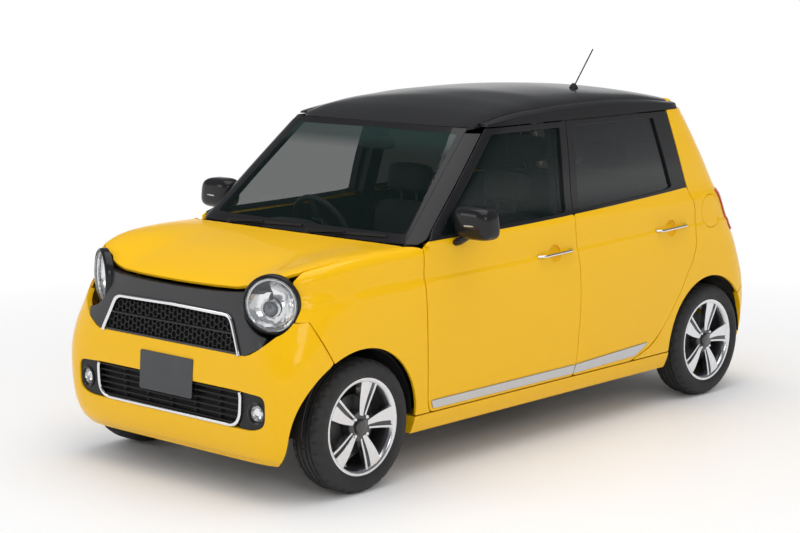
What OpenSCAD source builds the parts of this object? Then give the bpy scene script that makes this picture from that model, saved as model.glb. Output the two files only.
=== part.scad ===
// Five-door kei car, built as separate panels, lamps, seats and running gear.
// Frame: Z up, ground at zero, front of the car along -Y, the car's left side along +X.

/* [Overall] */
// Overall length, bumper to bumper
car_length = 3395; // [3200:5:3600]
// Width over the body sides, mirrors left out
body_width = 1475; // [1400:1:1560]
// Height of the roof crown above the ground
roof_height = 1572; // [1540:1:1640]
// Distance between the axles
wheelbase = 2520; // [2400:5:2640]
// Front bumper to front axle
front_overhang = 440; // [400:1:500]
// Distance between the tyre centre planes of one axle
track = 1305; // [1240:1:1340]

/* [Heights] */
// Lower edge of the front bumper
chin_z = 160; // [140:1:180]
// Lower edge of the sills
sill_z = 188; // [180:1:200]
// Lower edge of the doors
door_z = 272; // [262:1:282]
// Height where the body side is widest
widest_z = 680; // [660:1:700]
// Crease along the doors, at the middle of the car
crease_z = 856; // [846:1:868]
// Lower edge of the side windows, at the middle of the car
belt_z = 1018; // [1008:1:1028]
// Upper edge of the side windows
glass_top_z = 1422; // [1410:1:1434]

/* [Wheels] */
// Outer radius of the tyre
tyre_r = 281; // [270:0.5:285]
// Section width of the tyre
tyre_w = 165; // [150:1:170]
// Bead seat radius of the rim
rim_r = 190.5; // [184:0.5:196]
// Radius of the wheel arch openings
arch_r = 332; // [328:1:345]
// Radius of the wheel spindles
spindle_r = 16; // [14:0.5:18]

/* [Panels] */
// Gap between a moving panel and its neighbours
shut = 7; // [6:0.5:9]
// Gap between pieces that are fixed to each other
seat = 0.3; // [0.2:0.05:0.5]
// Thickness of a door below the window
door_t = 92; // [80:1:98]
// Thickness of a window frame
sash_t = 44; // [38:1:48]
// Thickness of the outer sheet panels
skin_t = 5; // [4:0.5:6]
// Thickness of the window glass
glass_t = 4; // [3:0.5:5]
// Height of the step at the door crease
crease_step = 6; // [3:0.5:8]
// Depth of the door hinge axis inside the widest body side
hinge_in = 15; // [14:0.5:17]
// Distance of a door hinge axis behind the door's front edge
hinge_back = 30; // [26:1:36]

/* [Steering] */
// Kingpin distance inboard of the tyre centre plane, at hub height
kingpin_in = 38; // [32:1:44]
// Kingpin lean towards the car's middle, degrees
kingpin_lean = 10; // [8:0.5:12]
// Radius of the steering wheel rim
steer_r = 180; // [170:1:190]
// Distance of the driver's seat centre from the car's middle
driver_x = 330; // [310:1:345]

/* [Hidden] */
$fn = 48;
half_w = body_width / 2;
nose_y = -car_length / 2;
tail_y = car_length / 2;
front_y = nose_y + front_overhang;
rear_y = front_y + wheelbase;
hub_z = tyre_r;
wheel_x = track / 2;
door_top_z = glass_top_z + 20;

// Body sections by height: height, side inset, nose set-back, nose roundness, tail set-in
SECTIONS = [
    [chin_z, 62, 56, 9, 62],
    [sill_z, 48, 30, 9, 44],
    [sill_z + 45, 28, 14, 9, 22],
    [door_z, 18, 9, 9.5, 12],
    [door_z + 80, 10, 6, 10, 2],
    [door_z + 150, 6, 6, 10, 0],
    [door_z + 230, 3, 8, 9.5, 6],
    [widest_z - 80, 0, 22, 8, 28],
    [widest_z, 0, 33, 6, 60],
    [crease_z - 85, 3, 43, 4.6, 98],
    [crease_z - 40, 8, 47, 4, 120],
    [crease_z, 14, 50, 4, 138],
    [crease_z + 60, 17, 53, 4, 166],
    [belt_z - 14, 24, 56, 4, 203],
    [belt_z + 14, 36, 58, 4, 218],
    [belt_z + 200, 74, 60, 4, 308],
    [glass_top_z, 122, 60, 4, 414],
    [roof_height - 70, 142, 60, 4, 462],
    [roof_height + 20, 165, 60, 4, 515]];
INSET = 1;
NOSE = 2;
ROUND = 3;
TAIL = 4;
// Lengths of the rounded plan corners at nose, windscreen and tail
nose_len = 590;
screen_len = 300;
tail_len = 400;
screen_round = 7;
tail_round = 6;
// Windscreen line at the car's middle: foot and rake
screen_foot_y = nose_y + 788;
screen_foot_z = 986;
screen_rake = 1.13;
// Bonnet height along the car: distance behind the nose, height
BONNET = [[0, 845], [47, 862], [100, 880], [165, 901], [300, 936], [405, 957], [600, 981], [755, 993],
    [860, 1003]];
bonnet_base = 500;
bonnet_lift = 40;
// Roof height along the car: distance behind the nose, drop below the crown
ROOF = [[1290, 134], [1400, 92], [1510, 58], [1700, 22], [1950, 3], [2250, 0], [2600, 14], [2870, 46],
    [3000, 76]];
roof_base = 1000;
roof_crown = 46;
// Crease and belt lines along the car: distance behind the nose, rise
CREASE = [[0, -18], [850, -13], [1740, 0], [2360, 17], [2870, 24], [3395, 26]];
BELT = [[850, -14], [1370, -9], [1890, 4], [2680, 40], [2810, 48], [3395, 60]];

// Smooth curve through one column of a table
function seg(t, v, i = 0) = (i >= len(t) - 2 || v < t[i + 1][0]) ? i : seg(t, v, i + 1);
function grade(t, k, i) = (t[i + 1][k] - t[i][k]) / (t[i + 1][0] - t[i][0]);
function tangent(t, k, i) = i == 0 ? grade(t, k, 0) : i == len(t) - 1 ? grade(t, k, i - 1) :
    let (a = grade(t, k, i - 1), b = grade(t, k, i)) a * b <= 0 ? 0 : 2 * a * b / (a + b);
function curve(t, k, v) = v <= t[0][0] ? t[0][k] : v >= t[len(t) - 1][0] ? t[len(t) - 1][k] :
    let (i = seg(t, v), h = t[i + 1][0] - t[i][0], u = (v - t[i][0]) / h)
    t[i][k] * (1 + 2 * u) * (1 - u) * (1 - u) + t[i + 1][k] * u * u * (3 - 2 * u) +
    h * (tangent(t, k, i) * u * (1 - u) * (1 - u) - tangent(t, k, i + 1) * u * u * (1 - u));
function mix(a, b, f) = a + (b - a) * f;
function ease(v) = let (u = min(1, max(0, v))) u * u * (3 - 2 * u);
function rounded(u, n) = pow(max(0, 1 - pow(max(0, u), n)), 1 / n);

// Lines of the body
function crease_at(y) = crease_z + curve(CREASE, 1, y - nose_y);
function belt_at(y) = belt_z + curve(BELT, 1, y - nose_y);
function nose_at(z) = nose_y + curve(SECTIONS, NOSE, z);
function tail_at(z) = tail_y - curve(SECTIONS, TAIL, z);
function screen_at(z) = screen_foot_y + (z - screen_foot_z) * screen_rake;
function half_at(y, z) = half_w - curve(SECTIONS, INSET, z) - crease_step * ease((z - crease_at(y))
    / 16 + 0.5);
function lift_fade(y) = min(1, max(0, (nose_y + 747 - y) / 530));
function bonnet_at(x, y) = curve(BONNET, 1, y - nose_y) + bonnet_lift * lift_fade(y) * ease((abs(x)
    - 330) / 290);
function roof_at(x, y) = roof_height - curve(ROOF, 1, y - nose_y) - roof_crown * ease((y - nose_y - 1250)
    / 600) * pow(x / 600, 2);
function shoulder(y) = 26;
// How far the section has closed in at height z, under the bonnet edge
function tuck(y, z) = y > nose_y + 850 ? 1 :
    rounded((z - bonnet_base) / (bonnet_at(650, y) - bonnet_base), shoulder(y));

// Point of a rounded plan corner at angle p from the side
function corner(w, a, n, p) = let (r = pow(pow(cos(p) / w, n) + pow(sin(p) / a, n), -1 / n)) [r * cos(p),
    r * sin(p)];
function degrees(arc, w) = arc / w * 180 / PI;
// Skin of the lower body and of the cabin: u runs along the side and on round the corners
function lower_skin(u, z) = let (w = half_at(u, z), fc = nose_at(z) + nose_len, rc = tail_at(z) - tail_len)
    u < fc ? let (p = corner(w, nose_len, curve(SECTIONS, ROUND, z), degrees(fc - u, w)), q =
        tuck(fc - p[1], z))
        [p[0] * q, fc - p[1] * q, z] :
    u > rc ? let (p = corner(w, tail_len, tail_round, degrees(u - rc, w))) [p[0], rc + p[1], z] :
    [w * tuck(u, z), u, z];
function cabin_skin(u, z) = let (w = half_at(u, z), fc = screen_at(z) + screen_len, rc = tail_at(z)
    - tail_len)
    u < fc ? let (p = corner(w, screen_len, screen_round, degrees(fc - u, w))) [p[0], fc - p[1], z] :
    u > rc ? let (p = corner(w, tail_len, tail_round, degrees(u - rc, w))) [p[0], rc + p[1], z] : [w, u, z];
function skin(u, z) = let (f = ease((z - belt_z + 12) / 34))
    f <= 0 ? lower_skin(u, z) : f >= 1 ? cabin_skin(u, z) : mix(lower_skin(u, z), cabin_skin(u, z), f);
// Place along the skin of a corner point at half-width x
function tail_u(x, z) = let (w = half_at(tail_at(z), z), rc = tail_at(z) - tail_len)
    rc + atan2(tail_len * rounded(x / w, tail_round), x) * PI / 180 * w;
function screen_u(x, z) = let (w = half_at(0, z), fc = screen_at(z) + screen_len)
    fc - atan2(screen_len * rounded(x / w, screen_round), x) * PI / 180 * w;
// Front face, tail face, windscreen and tops, each as a point over its own plane
function front_face(x, z) = let (w = half_at(nose_y, z), fc = nose_at(z) + nose_len, q =
    tuck(nose_y + 60, z))
    [x, fc - nose_len * q * rounded(abs(x) / (w * q), curve(SECTIONS, ROUND, z)), z];
function tail_face(x, z) = let (w = half_at(tail_at(z), z))
    [x, tail_at(z) - tail_len + tail_len * rounded(abs(x) / w, tail_round), z];
function screen_face(x, z) = let (w = half_at(0, z))
    [x, screen_at(z) + screen_len - screen_len * rounded(abs(x) / w, screen_round), z];
function bonnet_top(x, y) = let (z = 880, w = half_at(y, z), fc = nose_at(z) + nose_len, n =
    curve(SECTIONS, ROUND, z))
    let (r = pow(pow(abs(x) / w, n) + pow(max(0, fc - y) / nose_len, n), 1 / n), m = shoulder(y))
    [x, y, bonnet_base + (bonnet_at(x, y) - bonnet_base) * rounded(r, m)];
function roof_top(x, y) = let (w = half_at(0, glass_top_z + 90))
    [x, y, roof_base + (roof_at(x, y) - roof_base) * rounded(abs(x) / w, 14)];
function bonnet_half(y) = let (z = 880, w = half_at(y, z), fc = nose_at(z) + nose_len)
    0.925 * w * rounded(max(0, fc - y) / nose_len, curve(SECTIONS, ROUND, z));

// Thick shell between two point grids; cells with a zero in the mask stay open
function shell_faces(nr, nc, on) = let (s = nr * nc) [for (i = [0:nr - 2], j = [0:nc - 2]) if (on[i][j]
    == 1)
    each let (a = i * nc + j, b = a + 1, d = a + nc, c = d + 1) concat(
        [[a, d, c], [a, c, b], [a + s, c + s, d + s], [a + s, b + s, c + s]],
        (j == 0 || on[i][j - 1] != 1) ? [[d, a, a + s], [d, a + s, d + s]] : [],
        (i == nr - 2 || on[i + 1][j] != 1) ? [[c, d, d + s], [c, d + s, c + s]] : [],
        (j == nc - 2 || on[i][j + 1] != 1) ? [[b, c, c + s], [b, c + s, b + s]] : [],
        (i == 0 || on[i - 1][j] != 1) ? [[a, b, b + s], [a, b + s, a + s]] : [])];
function solid_mask(nr, nc) = [for (i = [0:nr - 2]) [for (j = [0:nc - 2]) 1]];
module shell(outer, inner, mask) {
    polyhedron(points = concat([for (r = outer) each r], [for (r = inner) each r]),
        faces = shell_faces(len(outer), len(outer[0]), mask));
}
module plain_shell(outer, inner) {
    shell(outer, inner, solid_mask(len(outer), len(outer[0])));
}
module both_sides() {
    children();
    mirror([1, 0, 0]) children();
}
// Points spaced along a polyline, n steps to each leg
function along(pts, n) = [for (i = [0:len(pts) - 2], k = [0:n - 1]) mix(pts[i], pts[i + 1], k / n),
    pts[len(pts) - 1]];

// Door outlines: front and rear edges by height
FRONT_EDGE = [[door_z, nose_y + 869], [door_z + 28, nose_y + 853], [door_z + 92, nose_y + 845],
    [crease_z - 30, nose_y + 829], [belt_z - 30, nose_y + 841]];
MID_EDGE = [[door_z, nose_y + 1860], [door_z + 60, nose_y + 1876], [door_z + 360, nose_y + 1892],
    [belt_z, nose_y + 1878], [belt_z + 40, nose_y + 1882], [door_top_z, nose_y + 1930]];
REAR_EDGE = [[door_z, nose_y + 2310], [door_z + 54, nose_y + 2465], [door_z + 185, nose_y + 2614],
    [door_z + 352, nose_y + 2739],
    [door_z + 516, nose_y + 2830], [crease_z + 100, nose_y + 2841], [belt_z + 50, nose_y + 2803],
        [door_top_z, nose_y + 2729]];
sash_foot_y = nose_y + 878;
function front_edge(z) = z < belt_z - 30 ? curve(FRONT_EDGE, 1, z) :
    mix(curve(FRONT_EDGE, 1, z), sash_foot_y + (z - belt_z + 18) * 1.126, ease((z - belt_z + 30) / 26));
function mid_edge(z) = curve(MID_EDGE, 1, z);
function rear_edge(z) = curve(REAR_EDGE, 1, z);
// Height of a door row: leg number and share of the leg
function door_row(k, f, y) = let (h = [door_z, crease_at(y) - 12, crease_at(y) + 10, belt_at(y),
    glass_top_z, door_top_z])
    mix(h[k], h[k + 1], f);
DOOR_ROWS = [[0, 0], [0, 0.05], [0, 0.16], [0, 0.32], [0, 0.5], [0, 0.68], [0, 0.84], [0, 1], [1, 1], [2,
    0.5], [2, 1], [3, 0.33], [3, 0.66], [3, 1], [4, 1]];
DOOR_COLS = [0, 0.2, 0.4, 0.6, 0.8, 1];
// Place along the car of door column j: both edges, both window edges, and even steps between them
function door_u(a, b, sa, sb, j) = j == 0 ? a : j == len(DOOR_COLS) + 1 ? b : mix(a + sa, b - sb,
    DOOR_COLS[j - 1]);
function door_point(r, j, e, sa, sb) = let (u = door_u(e[0], e[1], sa, sb, j))
    [u, door_row(r[0], r[1], u)];
function front_span(z) = [front_edge(z), mid_edge(z) - shut / 2];
function rear_span(z) = [mid_edge(z) + shut / 2, rear_edge(z)];
function door_span(front, z) = front ? front_span(z) : rear_span(z);
// Both edges of a door row, each at the row's height there
function row_span(front, r) = let (a = door_row(r[0], r[1], nose_y + (front ? 860 : 1890)), b =
    door_row(r[0], r[1], nose_y + (front ? 1890 : 2800)))
    [door_span(front, a)[0], door_span(front, b)[1]];
function sash_rear(front) = front ? 46 : 118;
function door_grid(front) = [for (r = DOOR_ROWS) let (e = row_span(front, r))
    [for (j = [0:len(DOOR_COLS) + 1]) let (p = door_point(r, j, e, 46, sash_rear(front))) skin(p[0],
        p[1])]];
function row_t(r) = r[0] < 2 ? door_t : r[0] == 2 ? mix(door_t, sash_t, r[1] < 1 ? 0 : 1) : sash_t;
// The inner face is narrower than the outer one, so that the leading edge can swing in
function door_inner(front, g) = [for (i = [0:len(g) - 1]) [for (j = [0:len(g[0]) - 1])
    let (n = len(g[0]) - 1, p = g[i][j], taper = j == 0 ? 20 : j == n ? -20 : 0) [p[0]
        - row_t(DOOR_ROWS[i]), p[1] + taper, p[2]]]];
function door_mask() = [for (i = [0:len(DOOR_ROWS) - 2]) [for (j = [0:len(DOOR_COLS)])
    (DOOR_ROWS[i + 1][0] == 3 && j > 0 && j < len(DOOR_COLS)) ? 0 : 1]];
// Hinges: an arm from the pillar reaches into a pocket in the door's leading edge and ends in an upright pin
HINGE_Z = [460, 760];
pocket_h = 60;
arm_h = 30;
pin_r = 4;
pin_run = 0.05;
hinge_x = half_w - hinge_in;
front_hinge_y = nose_y + 829 + hinge_back;
rear_hinge_y = nose_y + 1892 + shut / 2 + hinge_back;
module door(front) {
    g = door_grid(front);
    y = front ? front_hinge_y : rear_hinge_y;
    difference() {
        shell(g, door_inner(front, g), door_mask());
        for (z = HINGE_Z) {
            translate([hinge_x - 110, y - 70, z - pocket_h / 2]) cube([110 + 8, 70 + 14, pocket_h]);
            translate([hinge_x, y, z - 60]) cylinder(r = pin_r + pin_run, h = 120, $fn = 24);
        }
    }
}
module hinge_arm(x0, y) {
    for (z = HINGE_Z) {
        translate([x0, y - 8, z - arm_h / 2]) cube([hinge_x - x0, 16, arm_h]);
        translate([hinge_x, y, z - 54]) cylinder(r = pin_r, h = 108, $fn = 24);
    }
}
// Side glass: fills the window opening, set in from the skin
GLASS_ROWS = [[3, 0], [3, 0.33], [3, 0.66], [3, 1]];
glass_in = 14;
module side_glass(front) {
    g = [for (r = GLASS_ROWS) let (e = row_span(front, r))
        [for (j = [1:len(DOOR_COLS)]) let (p = door_point(r, j, e, 46, sash_rear(front)), n =
            len(DOOR_COLS))
            let (du = j == 1 ? 3 * seat : j == n ? -seat : 0, dz = r[1] == 0 ? seat : r[1] == 1 ? -seat : 0)
            skin(p[0] + du, p[1] + dz)]];
    outer = [for (row = g) [for (p = row) [p[0] - glass_in, p[1], p[2]]]];
    inner = [for (row = outer) [for (p = row) [p[0] - glass_t, p[1], p[2]]]];
    plain_shell(outer, inner);
}

// Points of a wheel arch from one angle to another
function arch_line(cy, a0, a1, n) = [for (i = [0:n]) let (a = mix(a0, a1, i / n)) [cy + arch_r * cos(a),
    hub_z + arch_r * sin(a)]];
// Front doors hang on the hinge pillars, rear doors on the middle pillars
module front_door_left() {
    color("gold") door(true);
}
module front_door_right() {
    color("gold") mirror([1, 0, 0]) door(true);
}
module rear_door_left() {
    color("gold") door(false);
}
module rear_door_right() {
    color("gold") mirror([1, 0, 0]) door(false);
}
module front_glass_left() {
    color("teal") side_glass(true);
}
module front_glass_right() {
    color("teal") mirror([1, 0, 0]) side_glass(true);
}
module rear_glass_left() {
    color("teal") side_glass(false);
}
module rear_glass_right() {
    color("teal") mirror([1, 0, 0]) side_glass(false);
}

// Door mirrors: rounded shells on short feet at the front corners of the windows
mirror_y = nose_y + 1080;
mirror_z = belt_z + 56;
mirror_reach = 196;
module mirror_shell() {
    foot = skin(mirror_y - 40, belt_at(mirror_y) - 22);
    hull() {
        translate([foot[0] + 30, mirror_y - 40, foot[2]]) sphere(r = 24, $fn = 12);
        translate([foot[0] + 60, mirror_y - 10, mirror_z - 20]) sphere(r = 24, $fn = 12);
    }
    hull() {
        for (x = [38, mirror_reach - 36], z = [-36, 36]) {
            translate([half_w - 24 + x, mirror_y, mirror_z + z]) sphere(r = 36, $fn = 16);
        }
        translate([half_w - 24 + mirror_reach / 2, mirror_y - 58, mirror_z]) sphere(r = 40, $fn = 16);
    }
    translate([foot[0] + 1.5, mirror_y - 58, foot[2] - 16]) cube([34, 36, 30]);
}
module mirror_left() {
    color("dimgray") mirror_shell();
}
module mirror_right() {
    color("dimgray") mirror([1, 0, 0]) mirror_shell();
}

// Front wings: thin sheet from the wheel arch up to the bonnet seam
wing_front_y = nose_y + 205;
function seam_z(y) = bonnet_top(bonnet_half(y) + shut, y)[2];
door_gap = shut + 2;
SEAM_Y = [760, 670, 580, 490, 400, 300, 200];
WING_LINE = along(concat(
    [for (z = [door_z, door_z + 28, door_z + 60, door_z + 92, crease_z - 300, crease_z - 150,
        crease_z - 30, belt_z - 43]) [front_edge(z) - door_gap, z]],
    [for (d = SEAM_Y) [nose_y + d, seam_z(nose_y + d)]],
    [[nose_y + 186, crease_z - 16], [wing_front_y, crease_z - 108]]), 2);
// The legs of the outline that follow the bonnet seam take their points from the bonnet's own curve
SEAM_LEGS = [8, 14];
function on_seam(i) = i >= 2 * SEAM_LEGS[0] && i <= 2 * SEAM_LEGS[1];
function wing_edge(i) = let (q = WING_LINE[i]) on_seam(i) ? bonnet_top(bonnet_half(q[0]) + shut + 1,
    q[0]) : skin(q[0], q[1]);
module front_wings() {
    color("gold") both_sides() {
        arch = arch_line(front_y, -1.5, 117, len(WING_LINE) - 1);
        g = [for (s = [0:6]) [for (i = [len(arch) - 1:-1:0]) let (p = mix(arch[i], WING_LINE[i], s / 6))
            s == 6 ? wing_edge(i) : skin(p[0], p[1])]];
        n = len(arch) - 1;
        plain_shell(g, [for (s = [0:6]) [for (j = [0:n]) let (p = g[s][j], top = s == 6 && on_seam(n - j))
            top ? [p[0], p[1], p[2] - skin_t] : [p[0] - skin_t, p[1], p[2]]]]);
    }
}

// Rear quarters: from the rear door opening round the corner to the tailgate
TAILGATE = [[575, 600], [800, 612], [1033, 592], [1215, 556], [1446, 505], [1510, 490]];
function gate_half(z) = curve(TAILGATE, 1, z);
function gate_u(z) = tail_u(gate_half(z) + shut + 2, z);
// The gap widens along the car where the door edge runs low and flat
function rear_gap(z) = door_gap + 22 * (1 - ease((z - door_z) / 150));
QUARTER_LINE = along(concat(
    [for (f = [0, 0.05, 0.16, 0.32, 0.5, 0.68, 0.84, 1]) let (z = mix(door_z, crease_z + 5, f))
        [rear_edge(z) + rear_gap(z), z]],
    [for (z = [crease_z + 60, crease_z + 120, belt_z + 45, belt_z + 176, belt_z + 300, door_top_z])
        [rear_edge(z) + rear_gap(z), z]],
    [for (z = [1420, 1350, 1250, 1150, 1050, 960, 880, 800, 720, 640, 590]) [gate_u(z), z]]), 1);
// Angle on the arch that each outline point is joined to
QUARTER_ANGLES = [181.5, 176, 166, 152, 138, 126, 116, 108, 103, 97, 84, 81, 78, 75, 72, 69, 66, 63, 60,
    57, 54, 51, 48, 45, 42];
lid_y = nose_y + 2981;
lid_z = crease_z + 79;
lid_r = 82;
lid_gap = 5;
lid_pin_r = 1.5;
lid_pin_x = half_w - hinge_in;
lid_pin_y = lid_y - lid_r + 5.5;
function quarter_inner(p, q) = let (rc = tail_at(q[1]) - tail_len, t = mix(10, 70, ease((q[1] - 640)
    / 80) * ease((rc + 200 - q[0]) / 150)))
    let (a = rear_edge(q[1]), b = 90 * ease((q[0] - a - 60) / (gate_u(q[1]) - a - 100))) [p[0]
        - t * cos(b), p[1] - t * sin(b), p[2]];
module quarters() {
    color("gold") both_sides() {
        arch = [for (a = QUARTER_ANGLES) [rear_y + arch_r * cos(a), hub_z + arch_r * sin(a)]];
        uv = [for (s = [0:7]) [for (i = [0:len(arch) - 1]) mix(arch[i], QUARTER_LINE[i], s / 7)]];
        g = [for (row = uv) [for (q = row) skin(q[0], q[1])]];
        plain_shell(g, [for (s = [0:7]) [for (i = [0:len(arch) - 1]) quarter_inner(g[s][i], uv[s][i])]]);
    }
    color("gold") translate([lid_pin_x, lid_pin_y, lid_z]) union() {
        translate([-8, -2.5, -9]) cube([10.5, 5, 18]);
        cylinder(r = lid_pin_r, h = 44, center = true, $fn = 24);
    }
}
module fuel_lid() {
    n = 8;
    g = [for (i = [-n:2:n]) [for (j = [-n:2:n]) let (s = j / n, t = i / n)
        skin(lid_y + lid_r * s * sqrt(1 - t * t / 2), lid_z + lid_r * t * sqrt(1 - s * s / 2))]];
    outer = [for (row = g) [for (p = row) [p[0] + lid_gap + 8, p[1], p[2]]]];
    color("gold") difference() {
        plain_shell(outer, [for (row = g) [for (p = row) [p[0] + lid_gap, p[1], p[2]]]]);
        translate([lid_pin_x - 20, lid_pin_y - 12, lid_z - 13]) cube([40, 19, 26]);
        translate([lid_pin_x, lid_pin_y, lid_z]) cylinder(r = lid_pin_r + pin_run, h = 52, center = true,
            $fn = 24);
    }
}

// Sills, pillars and cant rails frame the door openings
sill_in = half_w - 136;
module sills() {
    y0 = front_y + arch_r - 4;
    y1 = rear_y - arch_r + 4;
    g = [for (z = [sill_z, sill_z + 22, sill_z + 50, door_z - shut]) [for (i = [0:10]) skin(mix(y0, y1,
        i / 10), z)]];
    color("gold") both_sides() plain_shell(g, [for (row = g) [for (p = row) [sill_in, p[1], p[2]]]]);
}
function glass_half(z) = half_w - 121.5 - (z - 989) * 0.2022;
rail_z = door_top_z + shut;
bonnet_axis_y = nose_y + 797;
bonnet_axis_z = 975;
bonnet_pin_r = 5;
module a_pillars() {
    g = [for (i = [0:9]) let (z = mix(screen_foot_z + 4, glass_top_z + 2, i / 9), a =
        screen_u(glass_half(z) + 0.8, z), b = front_edge(z) - door_gap)
        [for (j = [0:4]) cabin_skin(mix(a, b, j / 4), z)]];
    color("dimgray") both_sides() {
        plain_shell(g, [for (row = g) [for (j = [0:4]) let (p = row[j]) [p[0] - mix(4, 44, j / 4), p[1]
            + mix(44, 8, j / 4), p[2]]]]);
        union() {
            translate([sill_in, front_hinge_y - 82, door_z - shut + seat]) cube([48, 40,
                936 - door_z + shut - seat]);
            translate([sill_in, front_hinge_y - 47.5, 900]) cube([38, 33.5,
                screen_foot_z + 4 - seat - 900]);
            for (z = HINGE_Z) {
                translate([hinge_x - 82, front_hinge_y - 60, z - arm_h / 2]) cube([16, 68, arm_h]);
            }
            hinge_arm(hinge_x - 76, front_hinge_y);
            difference() {
                translate([622, bonnet_axis_y - 12, 930]) cube([14, 29, 57]);
                translate([600, bonnet_axis_y, bonnet_axis_z]) rotate([0, 90, 0]) cylinder(r =
                    bonnet_pin_r + pin_run, h = 60, $fn = 24);
            }
        }
    }
}
post_gap = 16;
function post_t(z) = z < belt_z ? door_t : sash_t;
module b_pillars() {
    rows = [for (f = [0, 0.3, 0.6, 0.85, 1]) mix(door_z - shut + seat, belt_z - 76, f)];
    tops = [for (f = [0, 0.5, 1]) mix(belt_z + 6, rail_z - seat, f)];
    g = [for (z = concat(rows, tops)) [for (y = [mid_edge(z) - 42, mid_edge(z) + 42]) let (p = skin(y,
        z)) [p[0] - post_t(z) - post_gap, y, z]]];
    color("dimgray") both_sides() union() {
        plain_shell(g, [for (row = g) [for (p = row) [p[0] - 38, p[1], p[2]]]]);
        hinge_arm(half_w - door_t - 40, rear_hinge_y);
        head = roof_top(roof_half - 22, mid_edge(rail_z));
        translate([roof_half - 56, mid_edge(rail_z) - 20, rail_z - 20]) cube([34, 40, head[2]
            - roof_t - 1 - rail_z + 20]);
    }
}
roof_half = 568;
function roof_edge(y) = min(roof_half, cabin_skin(y, door_top_z)[0] - sash_t - 18);
function roof_rear(x) = tail_face(x, gate_top_z)[1] - 48;
gate_top_z = 1488;
gate_axis_y = tail_y - 475.5;
gate_axis_z = 1474;
GATE_HINGE_X = [-300, 300];
rail_rear_y = tail_y - 562;
module cant_rails() {
    ys = [for (i = [0:12]) mix(front_edge(rail_z) + 12, rail_rear_y, i / 12)];
    tops = [for (y = ys) roof_top(roof_edge(y) + 8, y)];
    g = [for (f = [0, 0.4, 0.75]) [for (i = [0:12]) let (z = mix(rail_z, tops[i][2], f)) let (p =
        cabin_skin(ys[i], z)) [min(p[0], 604), p[1], z]]];
    all = concat(g, [tops]);
    drop = [0, 12, 26, 38];
    tab = roof_top(roof_half, 400);
    color("dimgray") both_sides() translate([roof_half + seat, 380, tab[2] - 17]) cube([8 - 2 * seat, 40,
        10]);
    color("dimgray") both_sides() plain_shell(all, [for (k = [0:3]) [for (p = all[k]) [p[0] - (k == 3 ?
        0 : 40), p[1], max(rail_z, p[2] - drop[k])]]]);
}
ROOF_COLS = [-1, -0.94, -0.8, -0.55, -0.28, 0, 0.28, 0.55, 0.8, 0.94, 1];
roof_t = 20;
screen_top_z = 1444;
module roof() {
    g = [for (i = [0:14]) [for (c = ROOF_COLS) let (y0 = screen_face(c * 540, screen_top_z)[1] + 8)
        let (y = mix(y0, roof_rear(c * 540), i / 14)) roof_top(c * roof_edge(y), y)]];
    color("dimgray") union() {
        plain_shell(g, [for (row = g) [for (p = row) [p[0], p[1], p[2] - roof_t]]]);
        for (x = GATE_HINGE_X) {
            translate([x - 11, gate_axis_y - 60, gate_axis_z + 22]) cube([22, 36, 40]);
            translate([x - 11, gate_axis_y, gate_axis_z]) rotate([0, 90, 0]) linear_extrude(height = 22)
                polygon([[-5, -5], [-5, 5], [5, 5], [5, -5], [-26, -40], [-40, -30]]);
            translate([x - 45, gate_axis_y, gate_axis_z]) rotate([0, 90, 0]) cylinder(r = pin_r, h = 90,
                $fn = 24);
        }
    }
}

// Windscreen and cowl
module windscreen() {
    g = [for (i = [0:8]) let (z = mix(screen_foot_z + 4, screen_top_z, i / 8)) [for (c = [-6:6])
        screen_face(c / 6 * glass_half(z), z)]];
    color("teal") plain_shell(g, [for (row = g) [for (p = row) [p[0], p[1] + glass_t + 2, p[2]]]]);
}
bonnet_rear_y = nose_y + 752;
module cowl() {
    color("dimgray") rotate([90, 0, 90]) linear_extrude(height = 2 * (half_w - 140), center = true)
        polygon([[bonnet_rear_y + shut, 938], [bonnet_rear_y + shut, 968], [screen_foot_y + 10, 984],
            [screen_foot_y + 60, 984], [screen_foot_y + 60, 938]]);
}
module wipers() {
    color("dimgray") for (x = [-380, 120]) {
        translate([x, screen_foot_y - 6, screen_foot_z - 0.7]) rotate([0, 90, 0]) cylinder(r = 7, h =
            460, $fn = 16);
    }
}

// Bonnet: one panel from the nose to the cowl
BONNET_COLS = [-1, -0.93, -0.8, -0.6, -0.3, 0, 0.3, 0.6, 0.8, 0.93, 1];
function bonnet_front(c) = nose_y + 67 + 125 * pow(abs(c), 2.2);
bonnet_t = 14;
module bonnet() {
    g = [for (i = [0:12]) [for (c = BONNET_COLS) let (y = mix(bonnet_front(c), bonnet_rear_y, i / 12))
        bonnet_top(c * bonnet_half(y), y)]];
    color("gold") union() {
        plain_shell(g, [for (row = g) [for (p = row) [p[0] * 0.985, p[1], p[2] - bonnet_t]]]);
        both_sides() {
            translate([604, bonnet_rear_y - 40, bonnet_axis_z - 5]) cube([12,
                bonnet_axis_y - bonnet_rear_y + 45, 10]);
            translate([604, bonnet_axis_y, bonnet_axis_z]) rotate([0, 90, 0]) cylinder(r = bonnet_pin_r,
                h = 34, $fn = 24);
        }
    }
}

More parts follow.
